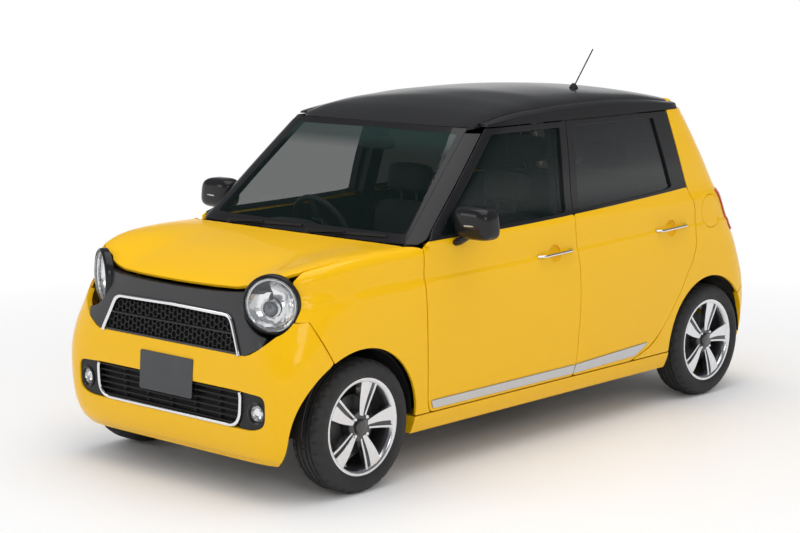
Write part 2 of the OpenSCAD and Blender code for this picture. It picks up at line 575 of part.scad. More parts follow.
// Front bumper: wraps round to the front arches, with one wide lower opening
BUMPER_ROWS = [[0, 0], [0, 0.3], [0, 0.65], [0, 1], [1, 0.5], [1, 1], [2, 0.35], [2, 0.7], [2, 1]];
BUMPER_X = [0, 240, 450, 520, 588, 650];
open_low_z = 294;
open_high_z = 462;
function bumper_top(x) = curve([[0, 600], [450, 600], [540, 640], [600, 698], [650, 742]], 1, abs(x));
function bumper_row(r, top) = let (h = [chin_z, open_low_z, open_high_z, top]) mix(h[r[0]], h[r[0] + 1],
    r[1]);
function arch_front(z) = front_y - sqrt(max(0, arch_r * arch_r - pow(z - hub_z, 2)));
function nose_u(x, z) = let (w = half_at(nose_y, z), fc = nose_at(z) + nose_len)
    fc - atan2(nose_len * rounded(x / w, curve(SECTIONS, ROUND, z)), x) * PI / 180 * w;
function bumper_side(r, f) = let (z = bumper_row(r, f < 1 ? 731 : 572)) skin(mix(nose_u(650, z),
    arch_front(min(z, 572)), f), z);
function flip_x(p) = [-p[0], p[1], p[2]];
function bumper_line(r) = let (side = [for (f = [0.5, 1]) bumper_side(r, f)], front = [for (x = BUMPER_X)
    front_face(x, bumper_row(r, bumper_top(x)))])
    concat([flip_x(side[1]), flip_x(side[0])], [for (i = [5:-1:1]) flip_x(front[i])], front, side);
module front_bumper() {
    g = [for (r = BUMPER_ROWS) bumper_line(r)];
    inner = [for (row = g) [for (p = row) let (s = abs(p[0]) / half_w, b = 90 * ease((s - 0.78) / 0.16))
        [p[0] - sign(p[0]) * 24 * sin(b), p[1] + 30 * cos(b), p[2]]]];
    mask = [for (i = [0:7]) [for (j = [0:13]) (BUMPER_ROWS[i + 1][0] == 1 && j >= 3 && j <= 10) ? 0 : 1]];
    color("gold") shell(g, inner, mask);
}
module front_plate(xs, z0, z1, nz, out, t) {
    g = [for (i = [0:nz]) [for (x = xs) let (p = front_face(x, mix(z0, z1, i / nz))) [p[0], p[1] + out,
        p[2]]]];
    plain_shell(g, [for (row = g) [for (p = row) [p[0], p[1] + t, p[2]]]]);
}
MASK_X = [-405, -360, -240, -120, 0, 120, 240, 360, 405];
module mask_panel() {
    color("dimgray") front_plate(MASK_X, 606, 816, 7, 0, 24);
}
module upper_grille() {
    color("dimgray") front_plate([for (i = [1:7]) MASK_X[i]], 636, 756, 4, -8, 8 - seat);
}
module lower_grille() {
    color("dimgray") front_plate([-584, -440, -300, -150, 0, 150, 300, 440, 584], open_low_z + 3,
        open_high_z - 3, 4, 40, 9);
}
module plate_bracket() {
    color("silver") difference() {
        translate([-170, nose_y, 462]) cube([340, 6.5, 60]);
        for (x = [-105, 105]) {
            translate([x, nose_y, 500]) rotate([90, 0, 0]) cylinder(r = 3, h = 40, center = true, $fn = 24);
        }
    }
}
lamp_x = 534;
lamp_z = 812;
lamp_r = 116;
module at_lamp() {
    translate([lamp_x, front_face(lamp_x, lamp_z)[1] + 14, lamp_z]) rotate([0, 0, 27]) rotate([90, 0, 0])
        children();
}
module headlamps() {
    color("silver") both_sides() at_lamp() rotate_extrude() polygon([[0, -110], [56, -100], [92, -40],
        [lamp_r, -12], [lamp_r, 2], [96, 10], [60, 22], [0, 28]]);
}
module fog_lamps() {
    color("silver") both_sides() translate([535, front_face(535, 379)[1] + 39.7, 379]) rotate([90, 0, 0])
        rotate_extrude() polygon([[0, 0], [40, 0], [40, 26], [30, 33], [0, 36]]);
}

// Tail: bumper, lamps, tailgate and its glass
function arch_rear(z) = rear_y + sqrt(max(0, arch_r * arch_r - pow(z - hub_z, 2)));
rear_low_z = 205;
rear_top_z = 566;
gate_low_z = 582;
joint_z = 492;
REAR_ROWS = [0, 0.08, 0.22, 0.4, 0.6, 0.8, 1];
function rear_side(r, f) = let (z = mix(rear_low_z, mix(rear_top_z, joint_z, f), r)) skin(mix(tail_u(650,
    z), arch_rear(z), f), z);
module rear_bumper() {
    g = [for (r = REAR_ROWS) let (z = mix(rear_low_z, rear_top_z, r), side = [rear_side(r, 1),
        rear_side(r, 0.5)],
        mid = [for (x = [650, 560, 400, 200, 0, -200, -400, -560, -650]) tail_face(x, z)])
        concat(side, mid, [flip_x(side[1]), flip_x(side[0])])];
    color("gold") plain_shell(g, [for (row = g) [for (p = row) let (s = abs(p[0]) / half_w, b =
        90 * ease((s - 0.8) / 0.14))
        [p[0] - sign(p[0]) * 24 * sin(b), p[1] - 30 * cos(b), p[2]]]]);
}
GATE_ROWS = [582, 640, 720, 800, 880, 960, 1020, 1050, 1150, 1250, 1350, 1420, gate_top_z];
GATE_COLS = [1, 0.86, 0.6, 0.3, 0, -0.3, -0.6, -0.86, -1];
module tailgate() {
    g = [for (z = GATE_ROWS) [for (c = GATE_COLS) tail_face(c * gate_half(z), z)]];
    mask = [for (i = [0:len(GATE_ROWS) - 2]) [for (j = [0:len(GATE_COLS) - 2]) (i >= 7 && i <=
        10 && j > 0 && j < 7) ? 0 : 1]];
    color("gold") difference() {
        shell(g, [for (row = g) [for (p = row) [p[0], p[1] - 38, p[2]]]], mask);
        for (x = GATE_HINGE_X) {
            translate([x - 20, gate_axis_y - 60, gate_axis_z - 14]) cube([40, 120, 60]);
            translate([x - 50, gate_axis_y, gate_axis_z]) rotate([0, 90, 0]) cylinder(r =
                pin_r + pin_run, h = 100, $fn = 24);
        }
    }
}
module rear_glass() {
    zs = [1050 + seat, 1150, 1250, 1350, 1420 - seat];
    g = [for (z = zs) [for (c = [6:-1:-6]) let (p = tail_face(c / 6 * (0.86 * gate_half(z) - seat), z))
        [p[0], p[1] - 6, p[2]]]];
    color("teal") plain_shell(g, [for (row = g) [for (p = row) [p[0], p[1] - glass_t, p[2]]]]);
}
module tail_lamps() {
    g = [for (z = [800, 850, 900, 950, 1000]) [for (f = [0, 0.33, 0.67, 1]) skin(gate_u(z) - mix(110, 6,
        f), z)]];
    color("red") both_sides() plain_shell([for (row = g) [for (p = row) [p[0] + 8, p[1] + 9, p[2]]]],
        [for (row = g) [for (p = row) [p[0] + 1.2, p[1] + 1.9, p[2]]]]);
}
module antenna() {
    base = roof_top(287, nose_y + 2400);
    color("dimgray") translate([base[0], base[1], base[2] + 2.87]) rotate([-40, 0, 0]) cylinder(r = 4,
        h = 235, $fn = 16);
}

// Floor, frame and running gear
module across(half) {
    rotate([90, 0, 90]) linear_extrude(height = 2 * half, center = true) children();
}
fire_y = nose_y + 800;
floor_z = 238;
module floor_pan() {
    color("dimgray") union() {
        across(sill_in - seat) polygon([[fire_y, floor_z], [860, floor_z], [860, floor_z + 16],
            [fire_y + 15, floor_z + 16], [fire_y + 15, 938 - seat], [fire_y, 938 - seat]]);
        across(530) polygon([[500, floor_z], [860, floor_z + 90], [1600, 400], [1600, 560], [1585, 560],
            [1585, 416], [860, floor_z + 110], [500, floor_z + 16]]);
        both_sides() {
            translate([280, 1590, 465]) cube([40, 71, 25]);
            translate([520, 1100, 360]) cube([10, 320, 250]);
            translate([520, rear_y - 40, 600]) cube([26 - seat, 80, 11]);
        }
    }
}
module front_frame() {
    color("dimgray") union() {
        both_sides() {
            translate([330, nose_y + 80, 400]) cube([66, fire_y - seat - nose_y - 80, 70]);
            translate([392, front_y - 160, 300]) cube([12, 320, 516]);
            translate([392, front_y - 75, 801]) cube([168, 150, 15]);
            translate([380, nose_y + 96, 400]) cube([30, 30, 390]);
            at_lamp() translate([0, 0, -150]) cylinder(r = 16, h = 40 - seat, $fn = 24);
            translate([392, front_y - 160, 796]) cube([88, 26, 18]);
            translate([540, front_y - 15, 800]) cube([skin(front_y, 806)[0] - skin_t - 3 - 540, 30, 12]);
            translate([300, nose_y + 39.7, 480]) cube([40, 40, 30]);
            translate([190, nose_y + 69.3, 765]) cube([20, 30, 20]);
            translate([200, nose_y + 55.8, 442]) cube([40, 24, 14]);
            translate([312, front_y - 30, 220 + seat]) cube([33, 60, 220]);
        }
        translate([-500, nose_y + 78, 440]) cube([1000, 40, 80]);
        translate([-410, nose_y + 96, 760]) cube([820, 30, 30]);
    }
}
module engine_block() {
    color("gray") union() {
        translate([-310, front_y - 275, 240]) cube([620, 400, 500]);
        translate([-330 + seat, front_y - 100, 400]) cube([660 - 2 * seat, 60, 60]);
    }
}
module fuel_tank() {
    color("dimgray") translate([-380, -260, 160]) cube([760, 620, floor_z - seat - 160]);
}
module exhaust() {
    color("silver") union() {
        translate([-180, -1000, 195]) rotate([-90, 0, 0]) cylinder(r = 24, h = 730, $fn = 24);
        translate([-440, -340, 195]) rotate([-90, 0, 0]) cylinder(r = 24, h = 1720, $fn = 24);
        translate([-460, -310, 195]) rotate([0, 90, 0]) cylinder(r = 20, h = 300, $fn = 24);
        for (p = [[-450, 100], [-190, -600]]) {
            translate([p[0], p[1], 195]) cube([20, 30, floor_z - seat - 195]);
        }
        translate([-440, 1360, 255]) rotate([-90, 0, 0]) cylinder(r = 78, h = 220, $fn = 32);
    }
}
module wheel_liners() {
    color("dimgray") both_sides() {
        translate([640, front_y - 20, hub_z + arch_r - 5]) cube([skin(front_y, hub_z + arch_r + 12)[0]
            - skin_t - seat - 640, 40, 16]);
        translate([640, rear_y - 20, hub_z + arch_r - 5]) cube([skin(rear_y, hub_z + arch_r + 12)[0]
            - 14.6 - 640, 40, 16]);
        for (p = [[front_y, 612, 84], [rear_y, 546, 150]]) {
            translate([p[1], p[0], hub_z]) rotate([0, 90, 0]) difference() {
                cylinder(r = arch_r - 2, h = p[2], $fn = 64);
                translate([0, 0, -1]) cylinder(r = arch_r - 7, h = p[2] + 2, $fn = 64);
                translate([0, -400, -1]) cube([400, 800, p[2] + 2]);
            }
        }
    }
}
module rear_axle() {
    color("dimgray") union() {
        translate([0, rear_y - 190, 262]) rotate([0, 90, 0]) cylinder(r = 36, h = 960, center = true,
            $fn = 32);
        both_sides() {
            translate([440, rear_y - 385, 235]) cube([60, 435, 56]);
            translate([440, rear_y, hub_z]) rotate([0, 90, 0]) cylinder(r = 44, h = 128, $fn = 32);
            translate([560, rear_y, hub_z]) rotate([0, 90, 0]) cylinder(r = spindle_r, h = 140, $fn = 32);
            translate([470, rear_y - 120, 270]) cylinder(r = 45, h = 80.7, $fn = 32);
        }
    }
}
king_x = wheel_x - kingpin_in;
king_low = 90;
module on_kingpin() {
    translate([king_x, front_y, hub_z]) rotate([0, -kingpin_lean, 0]) children();
}
module front_arms() {
    color("dimgray") union() {
        translate([-330, front_y - 60, 170]) cube([660, 120, 50]);
        both_sides() {
            translate([300, front_y - 30, 172]) cube([king_x + 16 - 300, 60, 14]);
            on_kingpin() translate([0, 0, -king_low - 34]) cylinder(r = 22, h = 34 - seat, $fn = 32);
        }
    }
}
module knuckle() {
    difference() {
        union() {
            translate([548, front_y, hub_z]) rotate([0, 90, 0]) cylinder(r = 56, h = 100, $fn = 32);
            translate([560, front_y, hub_z]) rotate([0, 90, 0]) cylinder(r = spindle_r, h = 140, $fn = 32);
            on_kingpin() translate([0, 0, -king_low]) cylinder(r = 20, h = 90, $fn = 32);
            translate([516, front_y - 30, hub_z - 40]) cube([44, 60, 190]);
            translate([524, front_y, hub_z + 100]) cylinder(r = 22, h = 270, $fn = 32);
            on_kingpin() translate([0, 0, 340]) cylinder(r = 52, h = 174, $fn = 32);
        }
    }
}
module knuckle_left() {
    color("gray") knuckle();
}
module knuckle_right() {
    color("gray") mirror([1, 0, 0]) knuckle();
}

// Wheels: tyre and alloy rim, drawn at the car's left and mirrored to the right
module tyre() {
    w = tyre_w / 2;
    rotate([0, 90, 0]) rotate_extrude($fn = 64) polygon([[rim_r, -w + 14], [rim_r + 18, -w + 14],
        [rim_r + 28, -w + 5], [rim_r + 46, -w], [tyre_r - 26, -w + 4],
        [tyre_r - 8, -w + 16], [tyre_r, -w + 30], [tyre_r, w - 30], [tyre_r - 8, w - 16], [tyre_r - 26,
            w - 4], [rim_r + 46, w],
        [rim_r + 28, w - 5], [rim_r + 18, w - 14], [rim_r, w - 14]]);
}
module rim() {
    w = tyre_w / 2;
    rotate([0, 90, 0]) difference() {
        union() {
            rotate_extrude($fn = 64) polygon([[rim_r - 18, -w + 16], [rim_r - 0.8, -w + 14],
                [rim_r - 0.8, w - 13.2], [rim_r + 16, w - 13.2], [rim_r + 16, w - 9],
                [rim_r - 6, w - 8], [rim_r - 20, w - 22], [rim_r - 20, 0]]);
            cylinder(r = 78, h = 62, $fn = 48);
            difference() {
                translate([0, 0, 26]) cylinder(r = rim_r - 8, h = 30, $fn = 64);
                for (k = [0:4]) {
                    rotate([0, 0, 72 * k]) translate([0, 0, 20]) linear_extrude(height = 50)
                        polygon([[66, -8], [rim_r - 24, -56], [rim_r - 16, 0], [rim_r - 24, 46], [66, 12]]);
                }
            }
        }
        translate([0, 0, -200]) cylinder(r = spindle_r + 0.05, h = 250, $fn = 32);
    }
}
module at_wheel(s, y) {
    if (s > 0) {
        translate([wheel_x, y, hub_z]) children();
    } else {
        mirror([1, 0, 0]) translate([wheel_x, y, hub_z]) children();
    }
}
module tyre_front_left() {
    color("black") at_wheel(1, front_y) tyre();
}
module tyre_front_right() {
    color("black") at_wheel(-1, front_y) tyre();
}
module tyre_rear_left() {
    color("black") at_wheel(1, rear_y) tyre();
}
module tyre_rear_right() {
    color("black") at_wheel(-1, rear_y) tyre();
}
module wheel_front_left() {
    color("silver") at_wheel(1, front_y) rim();
}
module wheel_front_right() {
    color("silver") at_wheel(-1, front_y) rim();
}
module wheel_rear_left() {
    color("silver") at_wheel(1, rear_y) rim();
}
module wheel_rear_right() {
    color("silver") at_wheel(-1, rear_y) rim();
}

// Cabin fittings
steer_y = nose_y + 1270;
steer_z = 925;
steer_tilt = 24;
module at_column() {
    translate([-driver_x, steer_y, steer_z]) rotate([-90 + steer_tilt, 0, 0]) children();
}
module steering_wheel() {
    color("dimgray") at_column() union() {
        rotate_extrude() translate([steer_r - 15, 0]) circle(r = 15, $fn = 24);
        translate([0, 0, -30]) cylinder(r = 62, h = 36, $fn = 32);
        for (a = [0, 180, 270]) {
            rotate([0, 0, a]) translate([40, -17, -14]) cube([steer_r - 55, 34, 14]);
        }
        translate([0, 0, -120]) cylinder(r = 12, h = 100, $fn = 24);
    }
}
module dashboard() {
    color("dimgray") difference() {
        union() {
            across(half_w - 142) polygon([[fire_y + 15 + seat, 620], [fire_y + 15 + seat, 925],
                [fire_y + 70, 945], [fire_y + 250, 930], [fire_y + 330, 880], [fire_y + 320, 700],
                [fire_y + 220, 620]]);
            at_column() translate([0, 0, -260]) cylinder(r = 34, h = 200, $fn = 32);
        }
        at_column() translate([0, 0, -130]) cylinder(r = 12.06, h = 100, $fn = 24);
    }
}
module seat_shape(w) {
    rotate([90, 0, 90]) linear_extrude(height = w, center = true) polygon([[-420, floor_z + 16 + seat],
        [-430, 470], [-300, 500], [60, 470], [150, 560], [235, 1010],
        [215, 1040], [225, 1180], [300, 1190], [310, 1050], [330, 1010], [280, 480], [200,
            floor_z + 16 + seat]]);
}
module front_seats() {
    color("dimgray") both_sides() translate([driver_x - 20, nose_y + 1600, 0]) seat_shape(470);
}
module rear_seat() {
    color("dimgray") translate([0, nose_y + 2450, 112]) seat_shape(1020);
}

floor_pan();
front_frame();
sills();
a_pillars();
b_pillars();
cant_rails();
roof();
quarters();
front_wings();
front_bumper();
mask_panel();
upper_grille();
lower_grille();
headlamps();
fog_lamps();
windscreen();
cowl();
wipers();
rear_bumper();
tail_lamps();
antenna();
dashboard();
front_seats();
rear_seat();
engine_block();
fuel_tank();
exhaust();
rear_axle();
front_arms();
wheel_liners();
plate_bracket();
bonnet();
tailgate();
rear_glass();
front_door_left();
front_door_right();
rear_door_left();
rear_door_right();
front_glass_left();
front_glass_right();
rear_glass_left();
rear_glass_right();
mirror_left();
mirror_right();
knuckle_left();
knuckle_right();
tyre_front_left();
tyre_front_right();
tyre_rear_left();
tyre_rear_right();
wheel_front_left();
wheel_front_right();
wheel_rear_left();
wheel_rear_right();
steering_wheel();
fuel_lid();
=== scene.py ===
import math
import bpy
import bmesh
import numpy as np
from mathutils import Matrix, Vector
from mathutils.geometry import delaunay_2d_cdt


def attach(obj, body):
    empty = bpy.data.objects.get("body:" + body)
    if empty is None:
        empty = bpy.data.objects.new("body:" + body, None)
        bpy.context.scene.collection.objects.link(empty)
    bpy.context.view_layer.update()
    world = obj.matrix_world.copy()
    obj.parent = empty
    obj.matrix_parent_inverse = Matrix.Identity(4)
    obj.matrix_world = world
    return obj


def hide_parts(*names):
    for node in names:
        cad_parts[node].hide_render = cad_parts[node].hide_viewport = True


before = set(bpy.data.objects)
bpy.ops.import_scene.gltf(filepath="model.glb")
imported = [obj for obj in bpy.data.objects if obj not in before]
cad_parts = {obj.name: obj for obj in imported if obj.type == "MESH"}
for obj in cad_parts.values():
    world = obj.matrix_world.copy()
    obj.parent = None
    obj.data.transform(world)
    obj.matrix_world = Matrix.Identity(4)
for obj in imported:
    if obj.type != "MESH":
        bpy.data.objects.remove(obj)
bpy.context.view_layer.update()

scene = bpy.context.scene
scene.view_settings.view_transform = "Standard"

# Studio: a seamless pale floor under the parked car, lit from large soft
# boxes overhead and at the sides. The camera stands off the left front corner.
camera = bpy.data.objects.new("camera", bpy.data.cameras.new("camera"))
scene.collection.objects.link(camera)
camera.location = (6.2174, -7.0253, 2.2195)
camera.rotation_euler = (math.radians(90 - 9.05), 0, math.radians(42.5))
camera.data.sensor_width = 36
camera.data.lens = 89.18
camera.data.clip_end = 200
scene.camera = camera


class Shade:
    """A value or colour in a material's node tree, for writing shader maths as expressions."""

    def __init__(self, tree, out=None):
        self.tree, self.out = tree, out

    def node(self, kind, output=0, settings=None, **sockets):
        n = self.tree.nodes.new(kind)
        for key, value in (settings or {}).items():
            if key == "stops":
                ramp = n.color_ramp
                for at, colour in value[2:]:
                    ramp.elements.new(at).color = colour
                for element, (at, colour) in zip((ramp.elements[0], ramp.elements[-1]), value[:2]):
                    element.position, element.color = at, colour
            else:
                setattr(n, key, value)
        for key, value in sockets.items():
            self.feed(n.inputs[int(key[1:]) if key[1:].isdigit() else key.replace("_", " ")], value)
        return Shade(self.tree, n.outputs[output])

    def feed(self, socket, value):
        if isinstance(value, Shade):
            self.tree.links.new(value.out, socket)
        else:
            socket.default_value = value

    def maths(self, operation, a, b):
        return self.node("ShaderNodeMath", settings={"operation": operation}, i0=a, i1=b)

    def __add__(self, other):
        return self.maths("ADD", self, other)

    def __mul__(self, other):
        return self.maths("MULTIPLY", self, other)

    def blend(self, a, b):
        return self.node("ShaderNodeMix", output=2, settings={"data_type": "RGBA"}, i0=self, i6=a, i7=b)

    def place(self):
        return self.node("ShaderNodeTexCoord", output=3)

    def clouds(self, scale, detail=2.0):
        return self.node("ShaderNodeTexNoise", Vector=self.place(), Scale=scale, Detail=detail)

    def pebbles(self, scale):
        return self.node("ShaderNodeTexVoronoi", Vector=self.place(), Scale=scale)

    def rim(self, blend):
        return self.node("ShaderNodeLayerWeight", Blend=blend)

    def bump(self, height, strength, distance):
        return self.node("ShaderNodeBump", Height=height, Strength=strength, Distance=distance)


def shader_of(material):
    return material.node_tree.nodes["Principled BSDF"]


def finish(name, **values):
    """A new material; each value is a constant or a function that writes shader maths."""
    made = bpy.data.materials.new(name)
    made.use_nodes = True
    t, shader = Shade(made.node_tree), shader_of(made)
    for key, value in values.items():
        t.feed(shader.inputs[key.replace("_", " ")], value(t) if callable(value) else value)
    return made


def mottle(scale, detail, low, high):
    """A colour that wanders between two."""
    return lambda t: t.clouds(scale, detail).blend((*low, 1), (*high, 1))


def uneven(scale, detail, low, span):
    """A value that wanders over a span above its lowest."""
    return lambda t: t.clouds(scale, detail) * span + low


def grain(scale, detail, strength, distance):
    """A fine bump."""
    return lambda t: t.bump(t.clouds(scale, detail), strength, distance)


floor_mesh = bpy.data.meshes.new("studio_floor")
FLOOR_REACH, FADE_NEAR, FADE_FAR = 60, 2.1, 4.6
floor_mesh.from_pydata([(a * FLOOR_REACH, b * FLOOR_REACH, 0) for a,
    b in ((-1, -1), (1, -1), (1, 1), (-1, 1))],
    [], [(0, 1, 2, 3)])
floor = bpy.data.objects.new("studio_floor", floor_mesh)
scene.collection.objects.link(floor)
floor_paint = finish("studio_floor", Base_Color=(0.93, 0.93, 0.93, 1), Specular_IOR_Level=0.3,
    Roughness=uneven(3.0, 2.0, 0.5, 0.06))
floor_mesh.materials.append(floor_paint)

world = bpy.data.worlds.new("studio")
scene.world = world
world.use_nodes = True
t = Shade(world.node_tree)
background = world.node_tree.nodes["Background"]
direction = t.node("ShaderNodeTexCoord")
up = t.node("ShaderNodeSeparateXYZ", output=2, Vector=direction)
sky = t.node("ShaderNodeValToRGB", Fac=up * 0.5 + 0.5, settings={"stops": [
    (0.0, (0.6, 0.6, 0.6, 1)), (1.0, (0.78, 0.78, 0.8, 1)), (0.5, (0.72, 0.72, 0.72, 1))]})
backdrop = t.node("ShaderNodeValToRGB", Fac=up * 0.5 + 0.5, settings={"stops": [
    (0.0, (1, 1, 1, 1)), (1.0, (0.12, 0.12, 0.13, 1)), (0.55, (1, 1, 1, 1)),
    (0.62, (0.16, 0.165, 0.175, 1))]})


def seen_by(t):
    """One where the ray comes from the camera, a mirror or a glass."""
    rays = t.tree.nodes.new("ShaderNodeLightPath")
    total = Shade(t.tree, rays.outputs["Is Camera Ray"])
    for word in ("Is Glossy Ray", "Is Transmission Ray"):
        total = t.maths("MAXIMUM", total, Shade(t.tree, rays.outputs[word]))
    return total


t.feed(background.inputs["Color"], seen_by(t).blend(sky, backdrop))
background.inputs["Strength"].default_value = 1.0
t = Shade(floor_paint.node_tree)
away = t.node("ShaderNodeVectorMath", output=1, settings={"operation": "LENGTH"}, i0=t.place())
far = t.node("ShaderNodeMapRange", Value=away, i1=FADE_NEAR, i2=FADE_FAR, i3=0.0, i4=1.0) * seen_by(t)
white = t.node("ShaderNodeEmission", Color=(1, 1, 1, 1), Strength=1.0)
mixed = t.node("ShaderNodeMixShader", i0=far, i1=Shade(t.tree, shader_of(floor_paint).outputs[0]), i2=white)
t.tree.links.new(mixed.out, t.tree.nodes["Material Output"].inputs["Surface"])


def softbox(name, place, aim, size, power):
    lamp = bpy.data.objects.new(name, bpy.data.lights.new(name, "AREA"))
    lamp.data.shape = "RECTANGLE"
    lamp.data.size, lamp.data.size_y = size
    lamp.data.energy = power
    scene.collection.objects.link(lamp)
    lamp.location = place
    lamp.rotation_euler = (Vector(aim) - Vector(place)).to_track_quat("-Z", "Y").to_euler()


softbox("overhead", (0.4, -0.4, 6.5), (0, 0, 0), (5.5, 7), 200)
softbox("front_left", (7.5, -5.5, 4.5), (0.4, -0.6, 0.8), (3.5, 2.5), 90)
softbox("front_right", (-4.5, -7.5, 3.5), (0, -1.2, 0.7), (3.5, 2.2), 60)

# Body shell: pressed sheet steel over a welded frame. Every outer panel is cut
# from one smooth skin, given by a short table of heights and how far the skin
# stands in from the sides, the nose and the tail at each.
NOSE_Y, TAIL_Y, HALF_W = -1697.5, 1697.5, 737.5
ROOF_Z, HUB_Z, FRONT_Y, REAR_Y, ARCH_R = 1572.0, 281.0, -1257.5, 1262.5, 332.0
DOOR_Z, CREASE_Z, BELT_Z, GLASS_TOP, DOOR_TOP = 272.0, 856.0, 1018.0, 1422.0, 1442.0
SECTIONS = np.array([
    [160, 62, 56, 9, 62], [188, 48, 30, 9, 44], [233, 28, 14, 9, 22], [272, 18, 9, 9.5, 12],
    [352, 10, 6, 10, 2],
    [422, 6, 6, 10, 0], [502, 3, 8, 9.5, 6], [600, 0, 22, 8, 28], [680, 0, 33, 6, 60],
    [771, 3, 43, 4.6, 98],
    [816, 8, 47, 4, 120], [856, 14, 50, 4, 138], [916, 17, 53, 4, 166], [1004, 24, 56, 4, 203],
    [1032, 36, 58, 4, 218],
    [1218, 74, 60, 4, 308], [1422, 122, 60, 4, 414], [1502, 142, 60, 4, 462], [1592, 165, 60, 4, 515]],
    float)
BONNET = np.array([[0, 845], [47, 862], [100, 880], [165, 901], [300, 936], [405, 957], [600, 981],
    [755, 993], [860, 1003]], float)
ROOF = np.array([[1290, 134], [1400, 92], [1510, 58], [1700, 22], [1950, 3], [2250, 0], [2600, 14],
    [2870, 46], [3000, 76]], float)
CREASE = np.array([[0, -18], [850, -13], [1740, 0], [2360, 17], [2870, 24], [3395, 26]], float)
BELT = np.array([[850, -14], [1370, -9], [1890, 4], [2680, 40], [2810, 48], [3395, 60]], float)
NOSE_LEN, SCREEN_LEN, TAIL_LEN, SCREEN_N, TAIL_N, SHOULDER = 590.0, 300.0, 400.0, 7.0, 6.0, 26.0
SCREEN_FOOT_Y, SCREEN_FOOT_Z, SCREEN_RAKE = NOSE_Y + 788, 986.0, 1.13


def pts(*axes):
    """Points from their coordinates, each an array or one value for all."""
    return np.stack(np.broadcast_arrays(*axes), -1)


def chain(*parts):
    return np.concatenate(parts)


def curve(table, v, k=1):
    """Smooth curve through one column of a table, without overshoot."""
    table = np.asarray(table, float)
    a, b = table[:, 0], table[:, k]
    g = np.diff(b) / np.diff(a)
    m = np.empty(len(a))
    m[0], m[-1] = g[0], g[-1]
    p, q = g[:-1] * g[1:], g[:-1] + g[1:]
    m[1:-1] = np.where(p > 0, 2 * p / np.where(q == 0, 1, q), 0)
    v = np.clip(np.asarray(v, float), a[0], a[-1])
    i = np.clip(np.searchsorted(a, v, side="right") - 1, 0, len(a) - 2)
    h = a[i + 1] - a[i]
    u = (v - a[i]) / h
    slopes = h * (m[i] * u * (1 - u) ** 2 - m[i + 1] * u * u * (1 - u))
    return b[i] * (1 + 2 * u) * (1 - u) ** 2 + b[i + 1] * u * u * (3 - 2 * u) + slopes


def ease(v):
    v = np.clip(v, 0, 1)
    return v * v * (3 - 2 * v)


def rounded(u, n):
    return np.maximum(0, 1 - np.maximum(0, u) ** n) ** (1 / n)


def crease_at(y):
    return CREASE_Z + curve(CREASE, y - NOSE_Y)


def crease_lines(y):
    """Rows of points along the crease, close together so that it stays crisp."""
    return [pts(y, crease_at(y) + d) for d in (-18, -9, -4.5, 0, 4.5, 9, 18)]


def belt_at(y):
    return BELT_Z + curve(BELT, y - NOSE_Y)


def nose_at(z):
    return NOSE_Y + curve(SECTIONS, z, 2)


def tail_at(z):
    return TAIL_Y - curve(SECTIONS, z, 4)


def screen_at(z):
    return SCREEN_FOOT_Y + (z - SCREEN_FOOT_Z) * SCREEN_RAKE


def half_at(y, z):
    return HALF_W - curve(SECTIONS, z) - 6 * ease((z - crease_at(y)) / 16 + 0.5)


def bonnet_at(x, y):
    fade = np.clip((NOSE_Y + 747 - y) / 530, 0, 1)
    return curve(BONNET, y - NOSE_Y) + 40 * fade * ease((np.abs(x) - 330) / 290)


def corner(w, a, n, p):
    r = ((np.abs(np.cos(p)) / w) ** n + (np.abs(np.sin(p)) / a) ** n) ** (-1 / n)
    return r * np.cos(p), r * np.sin(p)


def tuck(y, z):
    return np.where(y > NOSE_Y + 850, 1.0, rounded((z - 500) / (bonnet_at(650, y) - 500), SHOULDER))


def lower_skin(u, z):
    w, fc, rc = half_at(u, z), nose_at(z) + NOSE_LEN, tail_at(z) - TAIL_LEN
    fx, fy = corner(w, NOSE_LEN, curve(SECTIONS, z, 3), np.maximum(0, fc - u) / w)
    q = tuck(np.where(u < fc, fc - fy, u), z)
    rx, ry = corner(w, TAIL_LEN, TAIL_N, np.maximum(0, u - rc) / w)
    x = np.where(u < fc, fx * q, np.where(u > rc, rx, w * q))
    y = np.where(u < fc, fc - fy * q, np.where(u > rc, rc + ry, u))
    return pts(x, y, z)


def cabin_skin(u, z):
    w, fc, rc = half_at(u, z), screen_at(z) + SCREEN_LEN, tail_at(z) - TAIL_LEN
    fx, fy = corner(w, SCREEN_LEN, SCREEN_N, np.maximum(0, fc - u) / w)
    rx, ry = corner(w, TAIL_LEN, TAIL_N, np.maximum(0, u - rc) / w)
    x = np.where(u < fc, fx, np.where(u > rc, rx, w))
    y = np.where(u < fc, fc - fy, np.where(u > rc, rc + ry, u))
    return pts(x, y, z)


def spot_on(skin, a, b):
    """One point of a skin."""
    return skin(np.array([float(a)]), np.array([float(b)]))[0]


def side_skin(u, z):
    f = ease((z - BELT_Z + 12) / 34)[..., None]
    return lower_skin(u, z) * (1 - f) + cabin_skin(u, z) * f


def front_skin(x, z):
    w, fc = half_at(NOSE_Y, z), nose_at(z) + NOSE_LEN
    q = tuck(NOSE_Y + 60, z)
    return pts(x, fc - NOSE_LEN * q * rounded(np.abs(x) / (w * q), curve(SECTIONS, z, 3)), z)


def tail_skin(x, z):
    w = half_at(tail_at(z), z)
    return pts(x, tail_at(z) - TAIL_LEN + TAIL_LEN * rounded(np.abs(x) / w, TAIL_N), z)


def screen_skin(x, z):
    w = half_at(0, z)
    return pts(x, screen_at(z) + SCREEN_LEN - SCREEN_LEN * rounded(np.abs(x) / w, SCREEN_N), z)


def bonnet_skin(x, y):
    w, fc, n = half_at(y, 880), nose_at(880) + NOSE_LEN, curve(SECTIONS, 880, 3)
    r = ((np.abs(x) / w) ** n + (np.maximum(0, fc - y) / NOSE_LEN) ** n) ** (1 / n)
    return pts(x, y, 500 + (bonnet_at(x, y) - 500) * rounded(r, SHOULDER))


